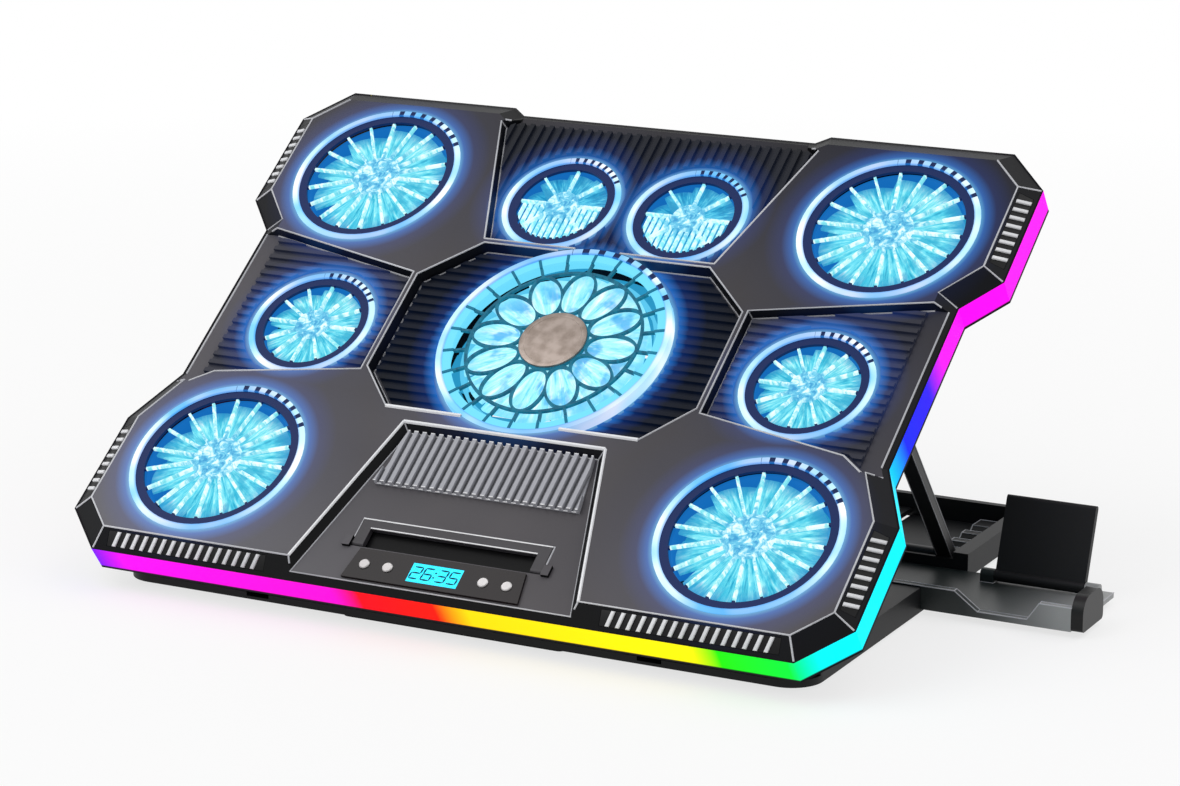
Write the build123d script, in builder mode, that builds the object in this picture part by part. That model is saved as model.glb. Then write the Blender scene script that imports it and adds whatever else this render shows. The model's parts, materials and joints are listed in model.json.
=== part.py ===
from build123d import *
from math import cos, hypot, pi, radians, sin, sqrt
import os

# Laptop cooling pad: nine fans in a deck that tilts up from a base frame on a folding strut,
# with a pull-out phone tray. Millimetres. The table is Z = 0 and the origin lies on it, straight
# below the deck's hinge line and on the middle of the front foot. +X is the user's right, +Y the rear.

os.makedirs("parts", exist_ok=True)

# ---------------------------------------------------------------- deck, in its own flat frame
# Deck coordinates: origin at the large fan's axis on the pods' top face, x right, y rear, z up.
tilt = 36.0                 # deck angle to the table, degrees
hinge_height = 8.0          # hinge line above the table
hinge_setback = 14.5        # hinge line behind the deck's front edge
hinge_drop = 7.5            # hinge line below the deck's underside

deck_front = 160.5          # large fan's axis to the front edge
deck_rear = 155.0           # large fan's axis to the rear edge of the pods
deck_rear_step = 5.0        # the rear edge between the pods stands this far forward
pod_half = 210.0            # half width over the pods
waist_half = 193.5          # half width between the pods
corner_cut = 22.0           # chamfered corners of the pods, in plan
waist_front = 47.0          # large fan's axis to the front end of the waist
waist_rear = 53.0           # and to its rear end
flare_front = 32.0          # length over which a front pod widens from the waist
flare_rear = 19.5           # and a rear pod
rear_pod_inner = 90.0       # half gap between the rear pods at the rear edge
rear_pod_chamfer = 7.0

bevel_run = 10.5            # sloped border round the pods, in plan
bevel_drop = 6.0            # and in height
skin = 2.2                  # wall of the mouldings
band_height = 14.5          # light strip round the deck
band_wall = 3.0             # its thickness
shell_height = 5.5          # bottom shell below the light strip
shell_step = 2.0            # the bottom shell's edge stands inside the light strip
shell_draw = 6.0            # and draws in this much more to its underside
block_depth = 8.2           # lowest plastic of the top cover
seat_gap = 0.1              # play of a fixed piece in its pocket

side_floor = 4.5            # depth of the ribbed fields below the pods
octagon_floor = 6.0         # depth of the field round the large fan
apron_floor = 4.0           # depth of the front panel
wall_slope = 1.6            # run of the fields' sloped walls, in plan
apron_slope = 4.0           # run of the front panel's sloped side walls

octagon_half = 90.5         # half width of the field round the large fan
octagon_flat = 31.0         # half length of its straight sides
octagon_rear_half = 63.0
octagon_front_half = 69.0
octagon_rear = 56.5
octagon_front = 54.0
field_step = 11.0           # the side fields widen over this length at their outer ends

apron_rear = 62.0           # front panel: distance of its rear edge from the large fan's axis
apron_rear_half = 55.0
apron_front_half = 82.0

# ---------------------------------------------------------------- fans
rim_gap_side = 9.8          # corner fans: light ring to the bevel at the side
rim_gap_end = 5.0           # and at the front or rear
side_fan_inset = 23.2       # side fans: light ring to the deck's edge at the waist
side_fan_y = -5.3
small_fan_x = 35.5
small_fan_inset = 32.2      # small rear fans: light ring to the deck's rear edge

ring_width = 3.1            # light rings
ring_proud = 0.5            # they stand this far above their field
grille_sink = 0.3           # the grilles' bars lie below the field
grille_bar = 1.6            # height of the grilles' bars
spoke_width = 1.4
flange = 1.5                # thickness of the grilles' flange under the cover
flange_lap = 2.5            # its overlap under the cover
grille_lip = 4.2            # flat rim of a grille inside its light ring
rotor_gap = 1.6             # grille's bars to the blades
tip_gap = 1.2               # blades to the fan frame's wall
frame_wall = 1.6
stator_gap = 0.8            # rotor to the fan frame's arms
stator_height = 2.0
arm_width = 5.0
axle_r = 1.5
axle_play = 0.05
blade_thickness = 1.2
blade_pitch = 38.0          # degrees

fan_kinds = {
    # ring radius, field depth, blade tip radius, hub radius, blade height, blades, spokes
    "large": dict(ring_r=60.2, field=octagon_floor, tip_r=47.5, hub_r=18.0, blade=9.5, blades=11, spokes=24),
    "corner": dict(ring_r=45.7, field=0.0, tip_r=36.5, hub_r=12.5, blade=9.0, blades=9, spokes=18),
    "side": dict(ring_r=33.5, field=side_floor, tip_r=25.8, hub_r=9.0, blade=6.2, blades=7, spokes=12),
    "small": dict(ring_r=31.5, field=side_floor, tip_r=24.0, hub_r=8.5, blade=6.2, blades=7, spokes=8),
}
large_ring_rise = 5.5       # the large fan's light ring stands this far above its field
petal_ring_r = 45.0         # large fan: ring round the petals, middle line
petals = 12
comb_pitch = 3.4            # small fans: upright bars over the front half

corner_r = fan_kinds["corner"]["ring_r"]
corner_fan_x = pod_half - bevel_run - rim_gap_side - corner_r
corner_fan_rear = deck_rear - bevel_run - rim_gap_end - corner_r
corner_fan_front = -(deck_front - bevel_run - rim_gap_end - corner_r)
side_fan_x = waist_half - side_fan_inset - fan_kinds["side"]["ring_r"]
small_fan_y = deck_rear - small_fan_inset - fan_kinds["small"]["ring_r"]
fans = {
    "centre": ("large", 0.0, 0.0),
    "rear_left": ("corner", -corner_fan_x, corner_fan_rear),
    "rear_right": ("corner", corner_fan_x, corner_fan_rear),
    "front_left": ("corner", -corner_fan_x, corner_fan_front),
    "front_right": ("corner", corner_fan_x, corner_fan_front),
    "side_left": ("side", -side_fan_x, side_fan_y),
    "side_right": ("side", side_fan_x, side_fan_y),
    "small_left": ("small", -small_fan_x, small_fan_y),
    "small_right": ("small", small_fan_x, small_fan_y),
}

# ---------------------------------------------------------------- ribs and vents
field_rib_width = 2.4
field_rib_pitch = 5.6
field_rib_height = 1.5
rib_margin = 2.5            # ribs stop this far from the field's edge and the light rings
rib_plate = 0.8
tooth_pitch = 5.3
tooth_width = 2.5
tooth_height = 0.9
tooth_length = 7.8
vent_insert = 1.0           # base of the toothed inserts, set into the bevel
front_vent_inner = 90.0     # toothed inserts in the front bevel, from the middle
front_vent_length = 90.0
side_vent_length = 46.0
vent_plate_rear = 66.6      # ribbed plate in the front panel
vent_plate_length = 32.0
vent_plate_rear_half = 50.5
vent_plate_front_half = 55.5
vent_rib_pitch = 4.6
vent_rib_width = 2.2
vent_rib_height = 2.4
vent_plate_base = 1.0

# ---------------------------------------------------------------- laptop stop and control panel
stop_pivot_y = -134.0       # flip-up laptop stop
stop_reach = 14.0           # pivot to the far edge of its bar
stop_half = 51.0            # half length of its bar
stop_bar = 5.0              # width of the bar
stop_thickness = 3.0
stop_ear = 6.0              # width of its two arms
stop_pin_r = 1.2
stop_pin_length = 4.0
stop_proud = 0.7            # folded, it stands this far above the front panel
stop_play = 0.5

panel_rear = 137.5          # glossy control panel, from the large fan's axis
panel_front = 155.0
panel_rear_half = 44.5
panel_front_half = 47.4
panel_height = 1.5
key_x = (25.6, 38.2)
key_y = -146.6
key_r = 2.7
key_play = 0.2
key_collar_r = 3.8
key_collar = 1.0
key_proud = 0.9
key_travel = 0.8
key_stem_gap = 0.1
key_chamfer = 0.4
switch_height = 1.8
display_half = 13.5
display_depth = 11.0
display_y = -146.8
board_height = 1.6
board_half = 45.0

# ---------------------------------------------------------------- strut
strut_reach = 148.5         # hinge line to strut pivot, along the deck
strut_drop = 23.5           # strut pivot below the pods' top face
strut_length = 121.3        # strut pivot to foot bar
foot_level = 9.8            # its foot bar above the table, when the pad stands
strut_half = 172.0          # half distance between the strut's legs
leg_width = 8.0
leg_thickness = 5.0
foot_r = 3.0
strut_pin_r = 1.25
strut_play = 0.8            # the legs in their channels
channel_wall = 1.5
hinge_play = 0.05

# ---------------------------------------------------------------- base
base_half = 186.0
base_front = 7.0
base_top = 14.0
foot_height = 1.5
rail = 66.0                 # width of the side rails
front_bar = 26.0
rear_bar = 30.0
base_skin = 2.5
base_corner = 16.0
front_lip = 5.0             # height of the base in front of the hinges
hinge_x = 106.0             # middle of each hinge
knuckle_width = 12.0
ear_width = 8.0
hinge_side_play = 0.3
knuckle_r = 4.5
hinge_pin_r = 2.0
foot_play = 4.9             # strut's foot bar to the front of its well in the rails
well_floor = 2.7
well_outer = 8.0            # rail left outside the well
trough_floor = 6.5          # trough in the rear bar, which the foot bar passes
trough_length = 41.0
trough_play = 1.2
rear_lip = 4.0              # rail left behind the trough
rack_pitch = 15.0
rack_notches = 5
rack_width = 18.0
rack_clear = 0.5            # foot bar to the racks' lands
notch_depth = 2.6
notch_half = 5.0            # half width of a notch at the lands
notch_foot = 1.7            # half width of its floor
rack_end = 3.6              # rack's rear end to the trough's
foot_pad = 12.0
foot_pad_length = 34.0
front_foot_length = 120.0

# ---------------------------------------------------------------- phone tray
tray_wall = 2.0             # between the tray's slot and the well
tray_depth = 60.0
tray_inner = 104.0          # inner end, when pulled out
tray_outer = 262.0          # outer end
tray_floor = 3.0            # underside above the table
tray_plate = 2.5
tray_play = 0.5
shelf_top = 2.7             # the base's shelf under the tray
shelf_inner = 24.0
lip_thickness = 3.5
lip_top = 14.7
lip_low = 6.0
lip_start = 170.0
lip_gap = (203.0, 215.0, 240.0, 246.0)   # slopes down, floor of the gap, slopes up
cheek_thickness = 6.0
cheek_depth = 28.0
cheek_top = 20.0
cheek_round = 9.0
rest_back = 10.0            # tray's rear edge to the phone rest's pin
rest_pivot_z = 9.0
rest_length = 40.0
rest_thickness = 3.5
rest_lean = 70.0            # phone rest to the tray when raised, degrees
rest_left = 205.0
rest_right = 251.0
rest_knuckle_r = 3.0
rest_pin_r = 1.25
rest_ear = 7.0

# ================================================================ frames and helpers
underside = bevel_drop + band_height + shell_height
hinge_y = -(deck_front - hinge_setback)
hinge_z = -(underside + hinge_drop)
tilt_cos, tilt_sin = cos(radians(tilt)), sin(radians(tilt))
deck_normal = (0, -tilt_sin, tilt_cos)
deck_plane = Plane(
    origin=(
        0,
        -hinge_y * tilt_cos + hinge_z * tilt_sin,
        hinge_height - hinge_y * tilt_sin - hinge_z * tilt_cos,
    ),
    x_dir=(1, 0, 0),
    z_dir=deck_normal,
)


def deck(z, x=0.0, y=0.0):
    """A plane parallel to the deck, at a point in deck coordinates."""
    return Plane(origin=deck_plane.from_local_coords((x, y, z)), x_dir=(1, 0, 0), z_dir=deck_normal)


def side_plane(x, origin_y=0.0, origin_z=0.0):
    """A plane normal to +X, whose own x is +Y and own y is +Z."""
    return Plane(origin=(x, origin_y, origin_z), x_dir=(0, 1, 0), z_dir=(1, 0, 0))


def deck_side(x):
    """As side_plane, tilted with the deck: own x is the deck's y and own y its z."""
    origin = deck_plane.from_local_coords((x, 0, 0))
    return Plane(origin=origin, x_dir=(0, tilt_cos, tilt_sin), z_dir=(1, 0, 0))


def mirrored(points):
    """A closed outline from its right half, listed front to rear."""
    return points + [(-x, y) for x, y in reversed(points)]


def flipped(points):
    return [(-x, y) for x, y in reversed(points)]


def inset(points, amount):
    """The outline moved inwards by amount, corner by corner (outwards if negative)."""
    count, moved = len(points), []
    turn = sum(points[i - 1][0] * points[i][1] - points[i][0] * points[i - 1][1] for i in range(count))
    side = amount if turn > 0 else -amount
    for i in range(count):
        (ax, ay), (bx, by), (cx, cy) = points[i - 1], points[i], points[(i + 1) % count]
        first, second = hypot(bx - ax, by - ay), hypot(cx - bx, cy - by)
        ux, uy, vx, vy = (bx - ax) / first, (by - ay) / first, (cx - bx) / second, (cy - by) / second
        share = side / (1 + ux * vx + uy * vy)
        moved.append((bx - (uy + vy) * share, by + (ux + vx) * share))
    return moved


def flat(points, z):
    """A face with this outline, at height z of the deck."""
    with BuildSketch(deck(z)) as face:
        Polygon(*points, align=None)
    return face.sketch


def keep(piece, name):
    piece.part.label = name
    export_step(piece.part, f"parts/{name}.step")


# ================================================================ outlines, in deck coordinates
outline = mirrored([
    (pod_half - corner_cut, -deck_front),
    (pod_half, -deck_front + corner_cut),
    (pod_half, -waist_front - flare_front),
    (waist_half, -waist_front),
    (waist_half, waist_rear),
    (pod_half, waist_rear + flare_rear),
    (pod_half, deck_rear - corner_cut),
    (pod_half - corner_cut, deck_rear),
    (rear_pod_inner, deck_rear),
    (rear_pod_inner - rear_pod_chamfer, deck_rear - deck_rear_step),
])
octagon = mirrored([
    (octagon_front_half, -octagon_front),
    (octagon_half, -octagon_flat),
    (octagon_half, octagon_flat),
    (octagon_rear_half, octagon_rear),
])
ridge = 2.5                 # left between the fields
past_edge = 6.0             # the fields run out over the deck's border
field_end = waist_half - bevel_run
field_bend = field_end - field_step
side_field = [
    (octagon_half + ridge, -octagon_flat - ridge),
    (field_bend, -waist_front),
    (field_end, -waist_front - bevel_run + ridge),
    (waist_half + past_edge, -waist_front - bevel_run + ridge),
    (waist_half + past_edge, waist_rear - ridge),
    (field_end, waist_rear - ridge),
    (octagon_half + ridge, octagon_flat + ridge / 2),
]
rear_field = mirrored([
    (octagon_rear_half + ridge / 2, octagon_rear + ridge),
    (rear_pod_inner, deck_rear - bevel_run - deck_rear_step),
    (rear_pod_inner - rear_pod_chamfer, deck_rear - bevel_run),
    (rear_pod_inner - rear_pod_chamfer, deck_rear + past_edge),
])
apron = mirrored([(apron_front_half, -deck_front - past_edge), (apron_rear_half, -apron_rear)])
fields = [
    (octagon, octagon_floor, wall_slope),
    (side_field, side_floor, wall_slope),
    (flipped(side_field), side_floor, wall_slope),
    (rear_field, side_floor, wall_slope),
    (apron, apron_floor, apron_slope),
]

# ================================================================ fan levels
for kind in fan_kinds.values():
    rise = large_ring_rise if kind is fan_kinds["large"] else ring_proud
    kind["seat"] = -kind["field"] - skin                 # underside of the cover, where the grille hangs
    kind["ring_top"] = -kind["field"] + rise
    kind["bars_top"] = kind["ring_top"] - ring_proud - grille_sink
    kind["rotor_top"] = kind["bars_top"] - grille_bar - rotor_gap
    kind["rotor_base"] = kind["rotor_top"] - kind["blade"]
    kind["stator_base"] = kind["rotor_base"] - stator_gap - stator_height
    kind["wall_r"] = kind["tip_r"] + tip_gap

# ================================================================ top cover
cover_edge = 1.0            # the cover's edge lies inside the light strip's face
strip_play = 0.3            # cover's block to the light strip's inner wall
flange_play = 0.3
bevel_rise = hypot(bevel_run - cover_edge, bevel_drop)


def bevel_plane(x, y, out_x, out_y, sink):
    """A plane on the sloped border: own y up the slope, own z outwards, sunk by this much."""
    run, drop = (bevel_run - cover_edge) / bevel_rise, bevel_drop / bevel_rise
    across, along, up = deck_plane.x_dir, deck_plane.y_dir, deck_plane.z_dir
    outward = across * out_x + along * out_y
    slope = up * drop - outward * run
    normal = outward * drop + up * run
    origin = Vector(*deck_plane.from_local_coords((x, y, -bevel_drop / 2))) - normal * sink
    return Plane(origin=origin, x_dir=slope.cross(normal), z_dir=normal)


bevel_middle = (bevel_run + cover_edge) / 2
front_vent_x = front_vent_inner + front_vent_length / 2
front_pod_middle = -(deck_front - corner_cut + waist_front + flare_front) / 2
rear_pod_middle = (deck_rear - corner_cut + waist_rear + flare_rear) / 2
vent_places = [                                            # x, y, outward x and y, length
    (side * front_vent_x, -deck_front + bevel_middle, 0, -1, front_vent_length) for side in (-1, 1)
] + [
    (side * (pod_half - bevel_middle), y, side, 0, side_vent_length)
    for side in (-1, 1)
    for y in (front_pod_middle, rear_pod_middle)
]

stop_z = -apron_floor + stop_proud - stop_thickness / 2   # the stop's pivot line
stop_pocket_depth = stop_thickness - stop_proud + stop_play
stop_lug = 4.0
stop_lug_x = stop_half + stop_play + stop_lug / 2
window_half = key_x[1] + key_collar_r + seat_gap
window_play = 0.2
window_depth = display_depth + 2 * (seat_gap + window_play)

with BuildPart() as top_cover:
    loft([flat(inset(outline, cover_edge), -bevel_drop), flat(inset(outline, bevel_run), 0)], ruled=True)
    with BuildSketch(deck(-block_depth)):
        Polygon(*inset(outline, band_wall + strip_play), align=None)
    extrude(amount=block_depth - bevel_drop)
    with BuildSketch(deck(-block_depth)):                  # hollow under the pods
        Polygon(*inset(outline, bevel_run + skin), align=None)
        for points, floor, run in fields:
            Polygon(*inset(points, -skin), align=None, mode=Mode.SUBTRACT)
    extrude(amount=block_depth - skin, mode=Mode.SUBTRACT)
    for points, floor, run in fields:
        loft([flat(points, 0), flat(inset(points, run), -floor)], ruled=True, mode=Mode.SUBTRACT)
    for kind_name, x, y in fans.values():
        kind = fan_kinds[kind_name]
        with BuildSketch(deck(kind["seat"], x, y)):
            Circle(kind["ring_r"] + seat_gap)
        extrude(amount=block_depth, mode=Mode.SUBTRACT)
        if kind["seat"] > -block_depth:
            with BuildSketch(deck(kind["seat"], x, y)):
                Circle(kind["ring_r"] + flange_lap + flange_play)
            extrude(amount=-block_depth, mode=Mode.SUBTRACT)
    for x, y, out_x, out_y, length in vent_places:         # seats of the toothed inserts
        with BuildSketch(bevel_plane(x, y, out_x, out_y, vent_insert)):
            Rectangle(length + 2 * seat_gap, tooth_length + 2 * seat_gap)
        extrude(amount=bevel_drop, mode=Mode.SUBTRACT)
    with BuildSketch(deck(-apron_floor, 0, stop_pivot_y + stop_reach / 2 - stop_thickness / 4)):
        Rectangle(2 * (stop_half + stop_play), stop_reach + stop_thickness / 2 + 2 * stop_play)
    extrude(amount=-stop_pocket_depth, mode=Mode.SUBTRACT)
    for side in (-1, 1):                                   # lugs that hold the stop's pins
        with BuildSketch(deck(-block_depth, side * stop_lug_x, stop_pivot_y)):
            Rectangle(stop_lug, stop_bar + 1)
        extrude(amount=block_depth - apron_floor + stop_proud + 1)
    with BuildSketch(deck_side(0)):
        with Locations((stop_pivot_y, stop_z)):
            Circle(stop_pin_r + axle_play)
    extrude(amount=stop_half + stop_play + stop_lug, both=True, mode=Mode.SUBTRACT)
    with BuildSketch(deck(-block_depth, 0, display_y)):    # window for the keys and the display
        Rectangle(2 * window_half, window_depth)
    extrude(amount=block_depth, mode=Mode.SUBTRACT)
keep(top_cover, "top_cover")

# ================================================================ light strip and bottom shell
strip_stop = 10.0           # corner to the strip's end along the rear edge
strip_end = pod_half - corner_cut - strip_stop
rear_wall_front = deck_rear - 3 * band_wall
band_base = -bevel_drop - band_height


def rear_zone(z, half):
    with BuildSketch(deck(z)) as zone:
        Polygon(*mirrored([(half, rear_wall_front), (half, deck_rear + past_edge)]), align=None)
    return zone.sketch


with BuildPart() as light_strip:
    with BuildSketch(deck(band_base)):
        Polygon(*outline, align=None)
        Polygon(*inset(outline, band_wall), align=None, mode=Mode.SUBTRACT)
    extrude(amount=band_height)
    extrude(rear_zone(band_base, strip_end), amount=band_height, mode=Mode.SUBTRACT)
keep(light_strip, "light_strip")

strut_y = hinge_y + strut_reach                            # strut pivot in deck coordinates
strut_z = -strut_drop
foot_y = strut_y + strut_length                            # its foot bar when folded
channel_half = leg_width / 2 + strut_play
channel_front = strut_y - leg_thickness
channel_rear = foot_y + foot_r + strut_play
channel_top = strut_z + foot_r + strut_play
housing_top = channel_top + channel_wall
intake_pitch = 8.0
intake_width = 3.6
intake_margin = 4.0
post_r = 3.0
shell_wall = 2.0
shell_floor = -underside + shell_wall
usb_x = (-62.0, -40.0)
usb_width = 13.4
usb_height = 6.2
usb_depth = 14.0
usb_wall = 0.5
usb_proud = 0.3
usb_z = band_base + band_height / 2
tongue = (10.6, 1.8, 10.0)
screw_head_r = 2.8
screw_head = 1.2
screw_shank_r = 1.4
screw_length = 7.0
screw_post_r = 3.6
screw_edge = 18.0                                          # from the deck's edges
screw_places = [
    (side * x, y)
    for side in (-1, 1)
    for x, y in (
        (pod_half - corner_cut - screw_edge, -deck_front + screw_edge),
        (apron_rear_half, -deck_front + screw_edge),
        (waist_half - screw_edge, -waist_front / 2),
        (pod_half - screw_edge, rear_pod_middle),
        (rear_pod_inner + 2 * screw_edge, deck_rear - screw_edge + post_r),
        (small_fan_x, deck_rear - screw_edge),
    )
]

with BuildPart() as bottom_shell:
    loft([
        flat(inset(outline, shell_step + shell_draw), -underside),
        flat(inset(outline, shell_step), band_base),
    ], ruled=True)
    loft([
        flat(inset(outline, shell_step + shell_draw + skin), shell_floor),
        flat(inset(outline, shell_step + skin), band_base),
    ], ruled=True, mode=Mode.SUBTRACT)
    with BuildSketch(deck(-underside)):                    # air intakes
        for kind_name, x, y in fans.values():
            reach = fan_kinds[kind_name]["tip_r"] - intake_margin
            rows = int(reach / intake_pitch)
            for row in range(-rows, rows + 1):
                half = sqrt(reach**2 - (row * intake_pitch) ** 2)
                with Locations((x, y + row * intake_pitch)):
                    Rectangle(2 * half, intake_width)
    extrude(amount=underside + shell_floor, mode=Mode.SUBTRACT)
    with BuildSketch(deck(-underside)):                    # housings of the strut's channels
        for side in (-1, 1):
            with Locations((side * strut_half, (channel_front + channel_rear) / 2)):
                Rectangle(2 * (channel_half + channel_wall), channel_rear - channel_front + 2 * channel_wall)
        with Locations((0, foot_y)):
            channel_reach = strut_half + channel_half + channel_wall
            Rectangle(2 * channel_reach, 2 * (foot_r + strut_play + channel_wall))
    extrude(amount=underside + housing_top)
    for kind_name, x, y in fans.values():                  # posts under the fan frames
        kind = fan_kinds[kind_name]
        with BuildSketch(deck(shell_floor, x, y)):
            with PolarLocations(kind["wall_r"] + frame_wall / 2, 3, start_angle=90):
                Circle(post_r)
        extrude(amount=kind["stator_base"] - shell_floor)
    with BuildSketch(deck(-underside)):
        for side in (-1, 1):
            with Locations((side * strut_half, (channel_front + channel_rear) / 2)):
                Rectangle(2 * channel_half, channel_rear - channel_front)
        with Locations((0, foot_y)):
            Rectangle(2 * (strut_half + channel_half), 2 * (foot_r + strut_play))
    extrude(amount=underside + channel_top, mode=Mode.SUBTRACT)
    with BuildSketch(deck_side(0)):                        # bores of the strut's pins
        with Locations((strut_y, strut_z)):
            Circle(strut_pin_r + hinge_play)
    extrude(amount=strut_half + channel_half + channel_wall, both=True, mode=Mode.SUBTRACT)
    for side in (-1, 1):                                   # hinge knuckles
        with BuildSketch(deck_side(side * hinge_x)):
            with Locations((hinge_y, hinge_z)):
                Circle(knuckle_r)
            with Locations((hinge_y, (hinge_z + shell_floor) / 2)):
                Rectangle(2 * knuckle_r, shell_floor - hinge_z)
            with Locations((hinge_y, hinge_z)):
                Circle(hinge_pin_r + hinge_play, mode=Mode.SUBTRACT)
        extrude(amount=knuckle_width / 2, both=True)
    with BuildSketch(deck(shell_floor)):                   # screw posts
        with Locations(*screw_places):
            Circle(screw_post_r)
    extrude(amount=screw_length - screw_head)
    with BuildSketch(deck(-underside)):
        with Locations(*screw_places):
            Circle(screw_head_r + seat_gap)
    extrude(amount=screw_head, mode=Mode.SUBTRACT)
    with BuildSketch(deck(-underside)):
        with Locations(*screw_places):
            Circle(screw_shank_r)
    extrude(amount=screw_length, mode=Mode.SUBTRACT)
    with BuildSketch(deck(band_base)) as rear_ring:        # rear wall, where the light strip ends
        Polygon(*outline, align=None)
        Polygon(*inset(outline, band_wall), align=None, mode=Mode.SUBTRACT)
        Polygon(
            *mirrored([
                (strip_end - seat_gap, rear_wall_front),
                (strip_end - seat_gap, deck_rear + past_edge),
            ]),
            align=None,
            mode=Mode.INTERSECT,
        )
    extrude(amount=band_height)
    with BuildSketch(deck(usb_z - usb_height / 2 - seat_gap, 0, deck_rear - deck_rear_step)):
        with Locations(*[(x, 0) for x in usb_x]):
            Rectangle(usb_width + 2 * seat_gap, 4 * band_wall)
    extrude(amount=usb_height + 2 * seat_gap, mode=Mode.SUBTRACT)
keep(bottom_shell, "bottom_shell")

with BuildPart() as usb_ports:
    mouth = deck_rear - deck_rear_step + usb_proud
    with BuildSketch(deck(usb_z - usb_height / 2, 0, mouth - usb_depth / 2)):
        with Locations(*[(x, 0) for x in usb_x]):
            Rectangle(usb_width, usb_depth)
    extrude(amount=usb_height)
    with BuildSketch(deck(usb_z - usb_height / 2 + usb_wall, 0, mouth - usb_depth / 2 + usb_wall)):
        with Locations(*[(x, 0) for x in usb_x]):
            Rectangle(usb_width - 2 * usb_wall, usb_depth)
    extrude(amount=usb_height - 2 * usb_wall, mode=Mode.SUBTRACT)
    with BuildSketch(deck(usb_z, 0, mouth - usb_depth + tongue[2] / 2)):
        with Locations(*[(x, 0) for x in usb_x]):
            Rectangle(tongue[0], tongue[2])
    extrude(amount=tongue[1])
keep(usb_ports, "usb_ports")

with BuildPart() as case_screws:
    with BuildSketch(deck(-underside)):
        with Locations(*screw_places):
            Circle(screw_head_r)
    extrude(amount=screw_head)
    with BuildSketch(deck(-underside)):
        with Locations(*screw_places):
            Circle(screw_shank_r)
    extrude(amount=screw_length - seat_gap)
    with BuildSketch(deck(-underside)):                    # cross recesses
        with Locations(*screw_places):
            Rectangle(2 * screw_shank_r, 0.7)
            Rectangle(0.7, 2 * screw_shank_r)
    extrude(amount=screw_head / 2, mode=Mode.SUBTRACT)
keep(case_screws, "case_screws")

# ================================================================ inserts of the deck
with BuildPart() as bevel_vents:
    for x, y, out_x, out_y, length in vent_places:
        with BuildSketch(bevel_plane(x, y, out_x, out_y, vent_insert)):
            Rectangle(length, tooth_length)
        extrude(amount=vent_insert)
        teeth = int(length / tooth_pitch)
        with BuildSketch(bevel_plane(x, y, out_x, out_y, 0)):
            with GridLocations(tooth_pitch, 1, teeth, 1):
                Rectangle(tooth_width, tooth_length)
        extrude(amount=tooth_height)
keep(bevel_vents, "bevel_vents")


def ribbed(name, outlines, floor, along_x):
    """Ribbed inserts on a field's floor, cut clear of the fans."""
    low, high = -deck_front - past_edge, deck_rear + past_edge
    rows = int((pod_half if not along_x else high) / field_rib_pitch)
    with BuildPart() as insert:
        for points in outlines:
            for z, height, ribs in ((-floor, rib_plate, False), (-floor + rib_plate, field_rib_height, True)):
                with BuildSketch(deck(z)):
                    if ribs:
                        for row in range(-rows, rows + 1):
                            place = (0, row * field_rib_pitch) if along_x else (row * field_rib_pitch, 0)
                            across = (field_rib_width, high - low)
                            size = (2 * pod_half, field_rib_width) if along_x else across
                            with Locations(place):
                                Rectangle(*size)
                        Polygon(*points, align=None, mode=Mode.INTERSECT)
                    else:
                        Polygon(*points, align=None)
                    for kind_name, x, y in fans.values():
                        with Locations((x, y)):
                            Circle(fan_kinds[kind_name]["ring_r"] + rib_margin, mode=Mode.SUBTRACT)
                extrude(amount=height)
    keep(insert, name)


rib_inset = wall_slope + rib_margin / 2
rib_edge = waist_half - bevel_run
side_rib_field = [
    (octagon_half + ridge, -octagon_flat - ridge),
    (field_bend, -waist_front),
    (rib_edge, -waist_front - bevel_run + ridge),
    (rib_edge, waist_rear - ridge),
    (octagon_half + ridge, octagon_flat + ridge / 2),
]
rear_rib_field = mirrored([
    (octagon_rear_half + ridge / 2, octagon_rear + ridge),
    (rear_pod_inner, deck_rear - bevel_run - deck_rear_step),
    (rear_pod_inner - rear_pod_chamfer, deck_rear - bevel_run),
])
ribbed("octagon_ribs", [inset(octagon, rib_inset)], octagon_floor, along_x=True)
ribbed(
    "side_ribs",
    [inset(side_rib_field, rib_inset), flipped(inset(side_rib_field, rib_inset))],
    side_floor,
    along_x=True,
)
ribbed("rear_ribs", [inset(rear_rib_field, rib_inset)], side_floor, along_x=False)

vent_outline = mirrored([
    (vent_plate_front_half, -vent_plate_rear - vent_plate_length),
    (vent_plate_rear_half, -vent_plate_rear),
])
with BuildPart() as vent_plate:
    with BuildSketch(deck(-apron_floor)):
        Polygon(*vent_outline, align=None)
    extrude(amount=vent_plate_base)
    vent_rows = int(vent_plate_front_half / vent_rib_pitch)
    with BuildSketch(deck(-apron_floor + vent_plate_base)):
        with Locations((0, -vent_plate_rear - vent_plate_length / 2)):
            with GridLocations(vent_rib_pitch, 1, 2 * vent_rows + 1, 1):
                Rectangle(vent_rib_width, vent_plate_length)
        Polygon(*vent_outline, align=None, mode=Mode.INTERSECT)
    extrude(amount=vent_rib_height)
keep(vent_plate, "vent_plate")

# ================================================================ laptop stop
with BuildPart() as laptop_stop:
    with BuildSketch(deck(stop_z - stop_thickness / 2)):
        with Locations((0, stop_pivot_y + stop_reach - stop_bar / 2)):
            Rectangle(2 * stop_half, stop_bar)
        for side in (-1, 1):
            with Locations((side * (stop_half - stop_ear / 2), stop_pivot_y + (stop_reach - stop_bar) / 2)):
                Rectangle(stop_ear, stop_reach - stop_bar)
    extrude(amount=stop_thickness)
    for side in (-1, 1):
        with BuildSketch(deck_side(side * stop_half)):
            with Locations((stop_pivot_y, stop_z)):
                Circle(stop_thickness / 2)
        extrude(amount=-side * stop_ear)
        with BuildSketch(deck_side(side * stop_half)):
            with Locations((stop_pivot_y, stop_z)):
                Circle(stop_pin_r)
        extrude(amount=side * stop_pin_length)
keep(laptop_stop, "laptop_stop")

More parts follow.
